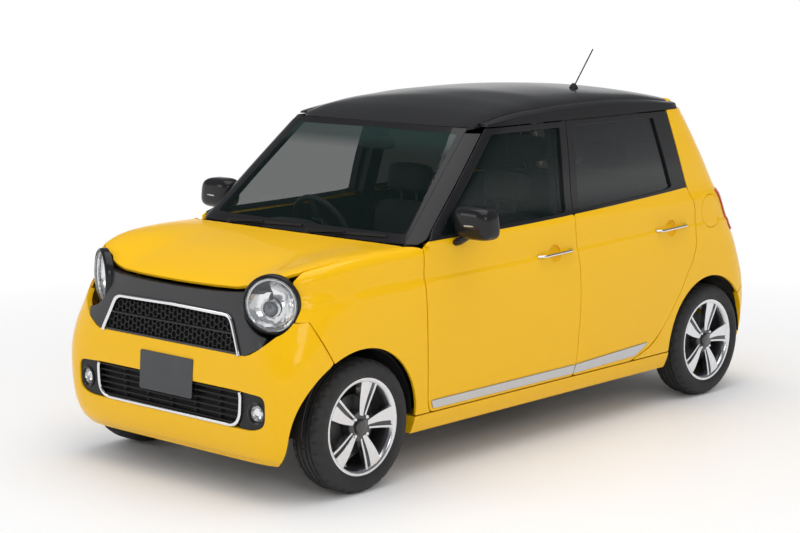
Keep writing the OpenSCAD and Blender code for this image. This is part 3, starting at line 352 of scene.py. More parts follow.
def roof_skin(x, y):
    top = ROOF_Z - curve(ROOF, y - NOSE_Y) - 46 * ease((y - NOSE_Y - 1250) / 600) * (x / 600) ** 2
    return pts(x, y, 1000 + (top - 1000) * rounded(np.abs(x) / half_at(0, GLASS_TOP + 90), 14))


def bonnet_half(y):
    return 0.925 * half_at(y, 880) * rounded(np.maximum(0, nose_at(880) + NOSE_LEN - y) / NOSE_LEN,
        curve(SECTIONS, 880, 3))


def corner_u(x, z, front):
    """Place along the skin of the corner point at half-width x, at the nose or at the tail."""
    if front:
        w, c = half_at(NOSE_Y, z), nose_at(z) + NOSE_LEN
        return c - np.arctan2(NOSE_LEN * rounded(x / w, curve(SECTIONS, z, 3)), x) * w
    w, c = half_at(tail_at(z), z), tail_at(z) - TAIL_LEN
    return c + np.arctan2(TAIL_LEN * rounded(x / w, TAIL_N), x) * w


def resample(points, step, closed=True):
    """Points spaced about one step apart along a polyline, its corners kept."""
    points = np.asarray(points, float)
    ends = np.roll(points, -1, 0) if closed else points[1:]
    out = []
    for a, b in zip(points, ends):
        n = max(1, int(round(np.linalg.norm(b - a) / step)))
        out.extend(a + (b - a) * k / n for k in range(n))
    if not closed:
        out.append(points[-1])
    return np.array(out)


def soften(points, radius, n=5):
    """A closed outline with each corner rounded off."""
    points = np.asarray(points, float)
    out = []
    for i in range(len(points)):
        a, p, b = points[i - 1], points[i], points[(i + 1) % len(points)]
        r = radius[i] if np.ndim(radius) else radius
        la, lb = np.linalg.norm(a - p), np.linalg.norm(b - p)
        s, e = p + (a - p) * min(r, la * 0.45) / la, p + (b - p) * min(r, lb * 0.45) / lb
        for k in range(n + 1):
            f = k / n
            out.append(s * (1 - f) ** 2 + 2 * p * f * (1 - f) + e * f * f)
    return np.array(out)


def both_sides(half, ends=slice(1, -1)):
    """A closed outline from its half, without the points that the mirror image repeats."""
    half = np.asarray(half, float)
    return chain(half, (half * [-1, 1])[::-1][ends])


def inside(loop, q):
    """Which points lie inside a closed outline."""
    a, b = loop, np.roll(loop, -1, 0)
    hit = np.zeros(len(q), bool)
    for (ax, ay), (bx, by) in zip(a, b):
        if ay == by:
            continue
        hit ^= ((ay > q[:, 1]) != (by > q[:, 1])) & (q[:, 0] < (bx - ax) * (q[:, 1] - ay) / (by - ay) + ax)
    return hit


def area_of(loop):
    a, b = loop, np.roll(loop, -1, 0)
    return 0.5 * np.sum(a[:, 0] * b[:, 1] - a[:, 1] * b[:, 0])


def build(name, verts, faces, normals=None, smooth=True):
    """A mesh object from points in millimetres, with its own normals where they are given."""
    mesh = bpy.data.meshes.new(name)
    clean = [list(dict.fromkeys(int(i) for i in f)) for f in faces]
    mesh.from_pydata((np.asarray(verts, float) * 0.001).tolist(), [], [f for f in clean if len(f) > 2])
    mesh.validate()
    mesh.polygons.foreach_set("use_smooth", [smooth] * len(mesh.polygons))
    mesh.update()
    if normals is not None:
        mesh.normals_split_custom_set_from_vertices(np.nan_to_num(np.asarray(normals, float)).tolist())
    piece = bpy.data.objects.new(name, mesh)
    scene.collection.objects.link(piece)
    return piece


def panel_data(outline, place, holes=(), step=32.0, edge=14.0, roll=2.0, depth=14.0, flip=False, lines=(),
    lift=0.0):
    """A pressed panel: an outline with holes on a skin, its edges rolled over and turned in."""
    loops = []
    for k, loop in enumerate([outline] + list(holes)):
        loop = resample(loop, edge)
        loops.append(loop if (area_of(loop) > 0) == (k == 0) else loop[::-1])
    low, high = loops[0].min(0), loops[0].max(0)
    gx, gy = np.meshgrid(np.arange(low[0] + step * 0.5, high[0], step),
        np.arange(low[1] + step * 0.5, high[1], step))
    spots = pts(gx.ravel(), gy.ravel())
    extra = [np.asarray(l, float) for l in lines]
    fixed = np.concatenate(loops + extra)
    def clear(q, of, gap):
        if not len(q):
            return q
        d = np.min(np.linalg.norm(q[:, None, :] - of[None, :, :], axis=2), 1)
        return q[d > gap]
    def kept(q):
        m = inside(loops[0], q)
        for h in loops[1:]:
            m &= ~inside(h, q)
        return q[m]
    spots = clear(kept(spots), fixed, step * 0.5)
    added = [clear(kept(l), np.concatenate(loops), edge * 0.6) for l in extra]
    flat = np.concatenate(loops + added + [spots])
    edges, at = [], 0
    for loop in loops:
        n = len(loop)
        edges += [(at + i, at + (i + 1) % n) for i in range(n)]
        at += n
    v2, _, tris, origin, _, _ = delaunay_2d_cdt([Vector(p) for p in flat], edges, [], 0, 1e-5)
    v2 = np.array([tuple(v) for v in v2])
    tris = np.array([f[:3] for f in tris])
    middle = v2[tris].mean(1)
    keep = inside(loops[0], middle)
    for h in loops[1:]:
        keep &= ~inside(h, middle)
    tris = tris[keep]
    back = {}
    for out, sources in enumerate(origin):
        for s in sources:
            back[s] = out
    def skin(q):
        return place(q[:, 0], q[:, 1])
    p0 = skin(v2)
    e = 0.6
    du = skin(v2 + [e, 0]) - skin(v2 - [e, 0])
    dv = skin(v2 + [0, e]) - skin(v2 - [0, e])
    nrm = np.cross(du, dv)
    nrm /= np.maximum(1e-9, np.linalg.norm(nrm, axis=1))[:, None]
    out_n = -nrm if flip else nrm
    verts, normals, faces = [p0 + out_n * lift], [out_n], []
    for f in tris:
        a, b, c = f[:3]
        s = (v2[b][0] - v2[a][0]) * (v2[c][1] - v2[a][1]) - (v2[b][1] - v2[a][1]) * (v2[c][0] - v2[a][0])
        faces.append((a, b, c) if (s > 0) != flip else (a, c, b))
    count, at = len(p0), 0
    for loop in loops:
        n = len(loop)
        ids = np.array([back[at + i] for i in range(n)])
        at += n
        p, nn, dn = p0[ids] + out_n[ids] * lift, out_n[ids], nrm[ids]
        tangent = np.roll(p, -1, 0) - np.roll(p, 1, 0)
        side = np.cross(tangent, dn)
        side /= np.maximum(1e-9, np.linalg.norm(side, axis=1))[:, None]
        rings = [(p + side * roll * 0.71 - nn * roll * 0.29, (nn + side) * 0.707),
            (p + side * roll - nn * roll, side),
            (p + side * roll - nn * (depth(loop) if callable(depth) else depth), side)]
        prev = ids
        for q, qn in rings:
            verts.append(q)
            normals.append(qn)
            ring = np.arange(count, count + n)
            count += n
            for i in range(n):
                j = (i + 1) % n
                quad = (prev[i], ring[i], ring[j], prev[j])
                faces.append(quad[::-1] if flip else quad)
            prev = ring
    return np.concatenate(verts), faces, np.concatenate(normals)


def join_data(*parts):
    verts, faces, normals, at = [], [], [], 0
    for v, f, n in parts:
        verts.append(v)
        normals.append(n)
        faces += [tuple(i + at for i in face) for face in f]
        at += len(v)
    return np.concatenate(verts), faces, np.concatenate(normals)


def mirrored(data):
    v, f, n = data
    flip = np.array([-1, 1, 1])
    return v * flip, [face[::-1] for face in f], n * flip


paint = finish("yellow_paint", Base_Color=mottle(2600.0, 1.0, (0.82, 0.44, 0.001), (0.94, 0.55, 0.004)),
    Roughness=uneven(900.0, 2.0, 0.27, 0.1), Normal=grain(420.0, 1.0, 0.015, 0.0004),
    Coat_Weight=0.38, Coat_Roughness=0.03, Specular_IOR_Level=0.1)
black_paint = finish("black_paint",
    Base_Color=mottle(2600.0, 1.0, (0.008, 0.008, 0.009), (0.02, 0.02, 0.022)),
    Roughness=0.3, Normal=grain(420.0, 1.0, 0.012, 0.0004),
    Coat_Weight=0.4, Coat_Roughness=0.02, Specular_IOR_Level=0.1)


def dress(piece, material, body, slot, *nodes):
    """Gives a piece its finish, the body it moves with and the solids it stands for."""
    piece.data.materials.append(material)
    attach(piece, body)
    if nodes:
        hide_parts(*nodes)
    return piece


# Front wings: pressed steel, bolted to the frame between the door, the bonnet
# seam and the wheel arch. The skin turns over a tight shoulder into the bonnet.
LAMP_TURN = math.radians(27)
LAMP_AT = np.array([534.0, spot_on(front_skin, 534, 812)[1] + 14, 812.0])
BEZEL_R = 124.0


def clip_round(outline, place, side=1, radius=BEZEL_R + 3):
    """An outline cut back along the edge of the round headlamp on one side."""
    centre = LAMP_AT * [side, 1, 1]
    right = np.array([side * math.cos(LAMP_TURN), math.sin(LAMP_TURN), 0])
    ahead = np.array([side * math.sin(LAMP_TURN), -math.cos(LAMP_TURN), 0])
    def spot(q):
        d = place(q[:, 0], q[:, 1]) - centre
        behind = np.maximum(0, -(d @ ahead) - 12)
        return pts(d @ right, d[:, 2]) * (radius / np.maximum(30, radius - 0.75 * behind))[:, None]
    loop = resample(outline, 6)
    p = spot(loop)
    near = np.hypot(p[:, 0], p[:, 1]) < radius
    if not near.any() or near.all():
        return loop
    first = int(np.flatnonzero(near & ~np.roll(near, 1))[0])
    loop, near, p = np.roll(loop, -first, 0), np.roll(near, -first), np.roll(p, -first, 0)
    n = int(np.flatnonzero(~near)[0])
    a0, a1 = math.atan2(p[-1][1], p[-1][0]), math.atan2(p[n][1], p[n][0])
    best = None
    for sweep in ((a1 - a0) % (2 * math.pi), (a1 - a0) % (2 * math.pi) - 2 * math.pi):
        arc, q, steps = [], loop[-1].copy(), 28
        for k in range(1, steps):
            aim = radius * np.array([math.cos(a0 + sweep * k / steps), math.sin(a0 + sweep * k / steps)])
            for _ in range(6):
                f = spot(np.array([q, q + [0.5, 0], q + [0, 0.5]]))
                j = pts((f[1] - f[0]) / 0.5, (f[2] - f[0]) / 0.5)
                q = q + np.clip(np.linalg.solve(j + np.eye(2) * 1e-6, aim - f[0]), -25, 25)
            arc.append(q.copy())
        arc = np.array(arc)
        share = inside(loop, arc).mean()
        if best is None or share > best[0]:
            best = share, arc
    return chain(loop[n:], best[1])


def clip_both(outline, place):
    return clip_round(clip_round(outline, place, 1), place, -1)


def front_edge(z):
    table = np.array([[272, 869], [300, 853], [364, 845], [826, 829], [988, 841]], float)
    low, sash = NOSE_Y + curve(table, z), NOSE_Y + 878 + (z - BELT_Z + 18) * 1.126
    return low + (sash - low) * ease((z - BELT_Z + 30) / 26)


def arch(cy, a0, a1, n=48, r=ARCH_R):
    a = np.radians(np.linspace(a0, a1, n))
    return pts(cy + r * np.cos(a), HUB_Z + r * np.sin(a))


half = np.linspace(0, 2 ** (-1 / SHOULDER), 400)
EDGE_H = chain(half, rounded(half[::-1], SHOULDER))
EDGE_R = chain(rounded(half, SHOULDER), half[::-1])
EDGE_S = chain([0], np.cumsum(np.hypot(np.diff(EDGE_R) * 700, np.diff(EDGE_H) * 480)))


def wing_skin(u, v):
    s = np.maximum(0, v - 500)
    r, h = np.where(v > 500, np.interp(s, EDGE_S, EDGE_R), 1), np.interp(s, EDGE_S, EDGE_H)
    y = u
    for _ in range(4):
        z = np.where(v > 500, 500 + (bonnet_at(650, y) - 500) * h, v)
        w, fc = half_at(u, z), nose_at(z) + NOSE_LEN
        fx, fy = corner(w, NOSE_LEN, curve(SECTIONS, z, 3), np.maximum(0, fc - u) / w)
        y = np.where(u < fc, fc - fy, u)
    return pts(np.where(u < fc, fx, w) * r, np.where(u < fc, fc - fy * r, u), z)


def wing_v(u, z):
    p = lower_skin(u, np.minimum(z, 800))
    h = (z - 500) / (bonnet_at(650, p[..., 1]) - 500)
    return np.where(z > 500, 500 + np.interp(h, EDGE_H, EDGE_S), z)


def on_wing(x, y):
    w, fc, n = half_at(y, 880), nose_at(880) + NOSE_LEN, curve(SECTIONS, 880, 3)
    q = ((x / w) ** n + (np.maximum(0, fc - y) / NOSE_LEN) ** n) ** (1 / n)
    u = np.where(y < fc, fc - w * np.arctan2(np.maximum(0, fc - y), x), y)
    return pts(u, 500 + np.interp(rounded(q, SHOULDER), EDGE_H, EDGE_S))


z = np.linspace(DOOR_Z, 976, 30)
u = front_edge(z) - 9
wing_line = pts(u, wing_v(u, z))
y = NOSE_Y + np.linspace(758, 215, 40)
wing_seam = on_wing(bonnet_half(y) + 6, y)
nose_cut = np.array([[NOSE_Y + 120, 860], [NOSE_Y + 120, 755.0], [NOSE_Y + 200, 752]])
nose_cut[:, 1] = wing_v(nose_cut[:, 0], nose_cut[:, 1])
wing_arch = arch(FRONT_Y, 117, -1.5)
wing_arch[:, 1] = wing_v(wing_arch[:, 0], wing_arch[:, 1])
wing_outline = clip_round(chain(wing_line, wing_seam, nose_cut, wing_arch), wing_skin)
wing = panel_data(wing_outline, wing_skin, step=26, edge=11, depth=12)
dress(build("front_wing_skins", *join_data(wing, mirrored(wing))), paint, "body", "yellow_paint",
    "front_wings")

# Front bumper: one moulded skin that wraps round to both arches, painted with
# the body, with a wide lower opening.
def bumper_skin(s, z):
    w, fc = half_at(NOSE_Y + 200, z), nose_at(z) + NOSE_LEN
    u = fc - w * (np.pi / 2 - np.abs(s) / NOSE_LEN)
    return lower_skin(u, z) * pts(np.where(s < 0, -1.0, 1.0), np.ones_like(s), np.ones_like(s))


def on_bumper(x, y, z):
    return pts(NOSE_LEN * np.arctan2(x, nose_at(z) + NOSE_LEN - y), z)


x = np.linspace(0, 560, 24)
z = curve([[0, 600], [450, 600], [540, 640], [600, 698], [650, 742]], x)
bumper_top = on_bumper(x, front_skin(x, z)[:, 1], z)
joint = pts(np.linspace(NOSE_Y + 140, NOSE_Y + 192, 6), np.linspace(744, 748, 6))
joint = chain(joint, pts(np.linspace(NOSE_Y + 198, NOSE_Y + 279, 8), np.linspace(740, 576, 8)))
joint = chain(joint, arch(FRONT_Y, 122, 201.3, 40))
p = lower_skin(joint[:, 0], joint[:, 1])
bumper_side = on_bumper(p[:, 0], p[:, 1], p[:, 2])
chin = pts(np.linspace(bumper_side[-1, 0], 0, 30), np.full(30, 160.0))
bumper_half = chain(bumper_top, bumper_side, chin[:-1])
bumper_outline = clip_both(both_sides(bumper_half, slice(None, -1)), bumper_skin)
mouth = soften([[-592, 458], [-592, 330], [-520, 300], [520, 300], [592, 330], [592, 458], [430, 466],
    [-430, 466]], 42)
mouth = on_bumper(mouth[:, 0], front_skin(mouth[:, 0], mouth[:, 1])[:, 1], mouth[:, 1])
dress(build("front_bumper_skin",
    *panel_data(bumper_outline, bumper_skin, [mouth], step=26, edge=11, depth=26, roll=5)), paint, "body",
    "yellow_paint", "front_bumper")

# Bonnet: a pressed skin over a stiffening inner sheet, hinged at the cowl. Its
# front edge is cut round the headlamps.
x = np.array([0, 120, 240, 350, 420, 470, 520, 570, 606.0])
y = np.array([-1622, -1621, -1617, -1608, -1596, -1582, -1566, -1538, -1500.0])
front = pts(x, y)
y = np.linspace(-1488, NOSE_Y + 752, 40)
side = pts(bonnet_half(y) - 1, y)
lid_outline = clip_both(both_sides(chain(front, side), slice(None, -1)), bonnet_skin)
inner_lid = np.array([q * 0.985 + np.array([0, -1250]) * 0.015 for q in lid_outline])
lid = panel_data(lid_outline, bonnet_skin, step=26, edge=11, roll=3, depth=13)
under = panel_data(inner_lid, lambda a, b: bonnet_skin(a, b) - [0, 0, 13], step=60, edge=14, roll=1,
    depth=2, flip=True)
dress(build("bonnet_skin", *join_data(lid, under)), paint, "bonnet", "yellow_paint", "bonnet")

# Mask: a dark moulded panel between the headlamps, clipped to the front frame
# from the bumper up to the bonnet, with a hole for the upper grille.
def shell_data(outer, inner):
    """A closed shell between two grids of points."""
    outer, inner = np.asarray(outer, float), np.asarray(inner, float)
    n, m = outer.shape[:2]
    at, s = np.arange(n * m).reshape(n, m), n * m
    faces = []
    for i in range(n - 1):
        for j in range(m - 1):
            quad = (at[i, j], at[i, j + 1], at[i + 1, j + 1], at[i + 1, j])
            faces += [quad, tuple(q + s for q in quad[::-1])]
    rim = list(at[0]) + list(at[1:, -1]) + list(at[-1, -2::-1]) + list(at[-2:0:-1, 0])
    faces += [(b, a, a + s, b + s) for a, b in zip(rim, rim[1:] + rim[:1])]
    return chain(outer.reshape(-1, 3), inner.reshape(-1, 3)), faces


def solid(name, parts, angle=38):
    """One object from closed forms, smooth but for edges sharper than the angle."""
    verts, faces, at = [], [], 0
    for v, f in parts:
        verts.append(v)
        faces += [tuple(int(i) + at for i in face) for face in f]
        at += len(v)
    piece = build(name, np.concatenate(verts), faces)
    work = bmesh.new()
    work.from_mesh(piece.data)
    bmesh.ops.recalc_face_normals(work, faces=work.faces)
    work.to_mesh(piece.data)
    work.free()
    piece.data.set_sharp_from_angle(angle=math.radians(angle))
    return piece


dark_plastic = finish("dark_plastic",
    Base_Color=mottle(60.0, 4.0, (0.008, 0.008, 0.009), (0.019, 0.019, 0.02)),
    Roughness=uneven(14.0, 4.0, 0.38, 0.2), Normal=grain(1500.0, 2.0, 0.08, 0.0006), Specular_IOR_Level=0.3)
mask_outline = [[0, 605], [452, 605], [540, 646], [560, 700], [560, 760], [474, 862], [430, 856],
    [350, 848], [240, 843], [120, 840], [0, 839]]
mask_outline = clip_both(both_sides(mask_outline), front_skin)
grille_hole = soften(both_sides([[0, 612], [424, 612], [356, 760], [0, 764]]), [1, 22, 30, 1, 30, 22])
grey_mask = finish("mask_grey",
    Base_Color=mottle(1800.0, 1.0, (0.022, 0.022, 0.024), (0.038, 0.038, 0.041)),
    Roughness=uneven(20.0, 3.0, 0.31, 0.1), Metallic=0.35, Coat_Weight=0.25)
dress(build("mask_skin", *panel_data(mask_outline, front_skin, [grille_hole], step=30, edge=11, depth=16,
    lift=-2)), grey_mask, "body", "dark_plastic", "mask_panel")
x = np.linspace(-500, 500, 61)
lip = front_skin(x, np.interp(np.abs(x), [0, 120, 240, 350, 430, 500], [835, 836, 839, 844, 852, 858]))
shelf = np.array([lip + [0, 6, 0], lip + [0, 26, 6], lip + [0, 60, 0], lip + [0, 60, -60]])
dress(solid("bonnet_slot", [shell_data(shelf, shelf + [0, 4, -4])]), dark_plastic, "body", "dark_plastic")

# Windscreen: laminated glass bonded to the pillars, with a tinted band at the
# top and a black printed edge.
def glass_half(z):
    return HALF_W - 121.5 - (z - 989) * 0.2022


def banded(t):
    """Clear where it is faced, denser at grazing angles and in the band at the top."""
    height = t.node("ShaderNodeSeparateXYZ", output=2, Vector=t.place())
    band = t.node("ShaderNodeMapRange", Value=height, i1=1.33, i2=1.38, i3=0.0, i4=0.55)
    return t.rim(0.35) * 0.55 + 0.2 + band


def tinted(name, colour, alpha):
    return finish(name, Base_Color=colour, Alpha=alpha, Roughness=uneven(9.0, 3.0, 0.01, 0.02),
        IOR=1.5, Coat_Weight=0.3, Specular_IOR_Level=0.4)


glass = tinted("green_glass", (0.012, 0.03, 0.026, 1), banded)
side_pane = tinted("side_glass", (0.012, 0.026, 0.024, 1), lambda t: t.rim(0.35) * 0.5 + 0.3)
privacy = tinted("privacy_glass", (0.006, 0.008, 0.009, 1), lambda t: t.rim(0.3) * 0.12 + 0.86)
z = np.linspace(991, 1443, 14)
edge_line = pts(glass_half(z), z)
screen_half = chain([[0, 988]], edge_line, [[0, 1446]])
screen_outline = both_sides(screen_half)
dress(build("windscreen_pane", *panel_data(screen_outline, screen_skin, step=40, edge=16, roll=1, depth=5,
    lift=1)), glass, "body", "green_glass", "windscreen")
inner_edge = screen_half.copy()
inner_edge[:, 0] = np.maximum(0, inner_edge[:, 0] - 26)
inner_edge[0, 1], inner_edge[1:-1, 1], inner_edge[-1, 1] = 1024, np.linspace(1026, 1420, 14), 1424
border = soften(both_sides(inner_edge), 24, 3)
dress(build("windscreen_edge", *panel_data(screen_outline, screen_skin, [border], step=40, edge=16,
    roll=0.5, depth=4, lift=1.6)), black_paint, "body", "black_paint")

# Pillars, cant rails and roof: steel pressings in gloss black round the door
# openings, with the roof skin on top.
def flip_x(parts):
    return [(v * [-1, 1, 1], [face[::-1] for face in f]) for v, f in parts]


rows = np.linspace(992, GLASS_TOP + 2, 26)
outer = []
for zz in rows[:, None]:
    w, fc = half_at(0, zz), screen_at(zz) + SCREEN_LEN
    gx = glass_half(zz) + 1
    a = fc - np.arctan2(SCREEN_LEN * rounded(gx / w, SCREEN_N), gx) * w
    us = np.linspace(float(a[0]), float(front_edge(zz)[0] - 9), 10)
    outer.append(cabin_skin(us, np.full(10, zz[0])))
outer = np.array(outer)
f = np.linspace(0, 1, 10)[None, :, None]
inner = outer + np.concatenate([-(4 + 40 * f), 44 - 36 * f, 0 * f], -1)
pillar = [shell_data(outer + [1.2, -1.2, 0], inner + [1, -1, 0])]
dress(solid("front_pillar_covers", pillar + flip_x(pillar)), black_paint, "body", "black_paint")


def roof_edge(y):
    return np.minimum(568, cabin_skin(y, np.full_like(y, DOOR_TOP))[:, 0] - 62)


cols = np.sin(np.linspace(-1, 1, 41) * np.pi / 2)
front_y = screen_skin(cols * 540, np.full(41, 1444.0))[:, 1] + 8
rear_y = tail_skin(cols * 540, np.full(41, 1488.0))[:, 1] - 48
outer = []
for k in np.linspace(0, 1, 60):
    y = front_y + (rear_y - front_y) * k
    outer.append(roof_skin(cols * roof_edge(y), y))
outer = np.array(outer)
dress(solid("roof_skin", [shell_data(outer, outer - [0, 0, 20])]), black_paint, "body", "black_paint",
    "roof")
ys = np.linspace(float(front_edge(np.array([1449.0]))[0]) + 12, TAIL_Y - 562, 60)
tops = roof_skin(roof_edge(ys) + 4, ys)
outer, inner = [], []
for k, drop in zip(np.linspace(0, 1, 9), np.linspace(0, 38, 9)):
    zz = 1449 + (tops[:, 2] - 1449) * k
    p = cabin_skin(ys, zz)
    p[:, 0] = np.minimum(p[:, 0], 604)
    p = p if k < 0.8 else p * (1 - k) / 0.2 + tops * (1 - (1 - k) / 0.2)
    outer.append(p)
    inner.append(pts(p[:, 0] - 40 * min(1, (1 - k) / 0.2), p[:, 1], np.maximum(1449, p[:, 2] - drop)))
rail = [shell_data(outer, inner)]
dress(solid("cant_rail_skins", rail + flip_x(rail)), black_paint, "body", "black_paint", "cant_rails")

# Doors: each a yellow outer panel folded over a deep inner frame, a black
# window sash above, glass, and a moulded trim inside. Each hangs on two hinges
# at its front edge and carries a chrome handle and a satin moulding.
def band_faces(rows, count):
    """Quads between closed rings of points, one ring after another."""
    return [(i * count + j, i * count + (j + 1) % count,
        (i + 1) * count + (j + 1) % count, (i + 1) * count + j)
        for i in range(rows - 1) for j in range(count)]


def tube_data(path, section, closed=False, up=(0, 0, 1)):
    """A section of (across, up) points carried along a path."""
    path, section = np.asarray(path, float), np.asarray(section, float)
    n, m = len(path), len(section)
    ahead = np.roll(path, -1, 0) - np.roll(path, 1, 0) if closed else np.gradient(path, axis=0)
    ahead /= np.linalg.norm(ahead, axis=1)[:, None]
    across = np.cross(ahead, np.asarray(up, float))
    across /= np.maximum(1e-9, np.linalg.norm(across, axis=1))[:, None]
    rise = np.cross(across, ahead)
    v = path[:, None] + across[:, None] * section[None, :, :1] + rise[:, None] * section[None, :, 1:]
    faces = []
    for i in range(n if closed else n - 1):
        k = (i + 1) % n
        faces += [(i * m + j, i * m + (j + 1) % m, k * m + (j + 1) % m, k * m + j) for j in range(m)]
    if not closed:
        faces += [tuple(range(m)), tuple(range((n - 1) * m, n * m))[::-1]]
    return v.reshape(-1, 3), faces


def oval(a, b, n=12):
    t = np.linspace(0, 2 * np.pi, n, endpoint=False)
    return pts(a * np.cos(t), b * np.sin(t))


def on_side(parts, side):
    return parts if side > 0 else flip_x(parts)


def soften_ends(loop):
    return resample(soften(resample(loop, 40), 16, 3), 12)


def mid_edge(z):
    return NOSE_Y + curve([[272, 1860], [332, 1876], [632, 1892], [1018, 1878], [1442, 1930]], z)


def rear_edge(z):
    return NOSE_Y + curve([[272, 2310], [326, 2465], [457, 2614], [624, 2739], [788, 2830], [956, 2841],
        [1068, 2803], [1442, 2729]], z)


chrome = finish("chrome", Base_Color=(0.78, 0.79, 0.8, 1), Roughness=uneven(40.0, 3.0, 0.04, 0.06),
    Metallic=1.0)
satin = finish("satin_silver", Base_Color=mottle(900.0, 2.0, (0.5, 0.51, 0.53), (0.62, 0.63, 0.65)),
    Roughness=uneven(120.0, 3.0, 0.28, 0.12), Metallic=0.8)

DOOR_GAP, TRIM_IN, EDGE_IN, CUP_R, CUP_H = 7.0, 86.0, 80.0, 44, 40


def door_pieces(name, front, side):
    """One door's pieces, made for the left and mirrored for the right."""
    a = front_edge if front else (lambda z: mid_edge(z) + DOOR_GAP / 2)
    b = (lambda z: mid_edge(z) - DOOR_GAP / 2) if front else rear_edge
    tail = 46 if front else 118
    y0, y1 = (NOSE_Y + 860, NOSE_Y + 1890) if front else (NOSE_Y + 1890, NOSE_Y + 2800)
    za, zb = float(belt_at(np.array(y0))), float(belt_at(np.array(y1)))
    up, down = np.linspace(DOOR_Z, za, 30), np.linspace(zb, DOOR_Z, 34)
    ua, ub = a(up), b(down)
    us = np.linspace(ua[-1], ub[0], 24)[1:-1]
    crease = crease_lines(np.linspace(ua[-1], ub[0], 110))
    low = soften_ends(chain(pts(ua, up), pts(us, belt_at(us)), pts(ub, down)))
    grip = np.array([18.0, 862.0]) if front else np.array([935.0, 884.0])
    cup = grip + oval(CUP_R, CUP_H, 48)
    def turned_in(q):
        lead = 10 + (EDGE_IN - 10) * np.clip((q[:, 0] - a(q[:, 1]) - 50) / 60, 0, 1)
        return np.where(np.linalg.norm(q - grip, axis=1) < 60, 8.0, lead)[:, None]
    skin = panel_data(low, side_skin, [cup], step=30, edge=12, roll=2, depth=turned_in, lines=crease)
    f, zs = np.meshgrid(np.linspace(0, 1, 6), np.linspace(DOOR_Z + 30, za - 8, 30))
    shut = side_skin(a(zs) + 4 + 68 * f, zs) - (9 + 76 * f)[..., None] * [1, 0, 0]
    shut = [(shut.reshape(-1, 3), [(i * 6 + j, i * 6 + j + 1, i * 6 + j + 7, i * 6 + j + 6)
        for i in range(29) for j in range(5)])]
    shares = (1.03, 0.98, 0.9, 0.75, 0.5, 0.25, 0.02)
    dish_u = np.array([grip + oval(CUP_R * share, CUP_H * share, 48) for share in shares])
    dips = np.array([2, 7, 12, 16, 18, 18.5, 18.6])[:, None, None]
    dish = side_skin(dish_u[..., 0], dish_u[..., 1]) - dips * [1, 0, 0]
    dish = [(dish.reshape(-1, 3), band_faces(7, 48))]
    f = np.linspace(0, 1, 30)
    stand_off = 26 * np.minimum(1, 9 * np.minimum(f, 1 - f))[:, None]
    bar = side_skin(grip[0] - 122 + 244 * f, grip[1] - 3 + 8 * f) + stand_off * [1, 0, 0]
    bar = [tube_data(bar, oval(11, 7, 14))]
    front_strip = [[-833, 320], [-820, 288], [150, 286], [163, 322]]
    rear_strip = [[176, 322], [160, 286], [640, 296], [738, 344]]
    strip = front_strip if front else rear_strip
    strip = panel_data(soften(strip, 6, 3), side_skin, step=24, edge=12, roll=3, depth=8, lift=7)
    trim_line = np.array([q + np.clip(np.array([np.mean(low[:, 0]), 650]) - q, -9, 9) for q in low])
    trim = panel_data(trim_line, lambda u, z: side_skin(u, z) - [TRIM_IN, 0, 0], step=60, edge=14, roll=2,
        depth=-4, flip=True)
    zt = np.linspace(za + 2, DOOR_TOP, 24)
    zr = np.linspace(DOOR_TOP, zb + 2, 24)
    us = np.linspace(b(zr)[-1], a(zt)[0], 16)[1:-1]
    sash = chain(pts(a(zt), zt), pts(b(zr), zr), pts(us, belt_at(us) + 2))
    zw = np.linspace(za + 14, GLASS_TOP - 2, 20)
    zv = np.linspace(GLASS_TOP - 2, zb + 14, 20)
    us = np.linspace(b(zv)[-1] - tail, a(zw)[0] + 48, 14)[1:-1]
    window = chain(pts(a(zw) + 48, zw), pts(b(zv) - tail, zv), pts(us, belt_at(us) + 14))
    window = soften(resample(window, 60), 26, 3)
    frame_skin = panel_data(sash, side_skin, [window], step=30, edge=12, roll=1.5, depth=40, lift=0.5)
    pane = panel_data(window, lambda u, z: side_skin(u, z) - [12, 0, 0], step=40, edge=16, roll=6, depth=4)
    turn = (lambda d: d) if side > 0 else mirrored
    skin_piece = build(name + "_skin", *turn(skin))
    trim_piece = build(name + "_trim", *turn(trim))
    sash_piece = build(name + "_sash", *turn(frame_skin))
    pane_piece = build(name + "_pane", *turn(pane))
    dress(skin_piece, paint, name, "yellow_paint", name)
    dress(solid(name + "_shut_face", on_side(shut, side), 60), paint, name, "yellow_paint")
    dress(solid(name + "_cup", on_side(dish, side), 60), paint, name, "yellow_paint")
    dress(solid(name + "_handle", on_side(bar, side), 60), chrome, name, "chassis_steel")
    dress(build(name + "_moulding", *turn(strip)), satin, name, "alloy")
    dress(trim_piece, dark_plastic, name, "dark_plastic")
    dress(sash_piece, black_paint, name, "black_paint")
    if front:
        dress(pane_piece, side_pane, name, "green_glass", name.replace("door", "glass"))
    else:
        dress(pane_piece, privacy, name, "privacy_glass", name.replace("door", "glass"))


for side, word in ((1, "left"), (-1, "right")):
    door_pieces("front_door_" + word, True, side)
    door_pieces("rear_door_" + word, False, side)

# Sills: box-section steel under the doors, welded to the floor between the
# wheel arches and painted with the body.
rows = []
for zz in np.linspace(188, 265, 8):
    us = np.linspace(FRONT_Y + ARCH_R - 4, REAR_Y - ARCH_R + 4, 40)
    rows.append(side_skin(us, np.full(40, zz)))
rows = np.array(rows)
inner = rows.copy()
inner[..., 0] = HALF_W - 136
sill = [shell_data(rows, inner)]
dress(solid("sill_skins", sill + flip_x(sill)), paint, "body", "yellow_paint", "sills")

# Rear quarters: pressed steel from the rear door round the corner to the
# tailgate, welded to floor and roof. The fuel lid opens in the left one.
def gate_half(z):
    return curve([[575, 600], [800, 612], [1033, 592], [1215, 556], [1446, 505], [1510, 490]], z)


def gate_u(z):
    return corner_u(gate_half(z) + 9, z, False)


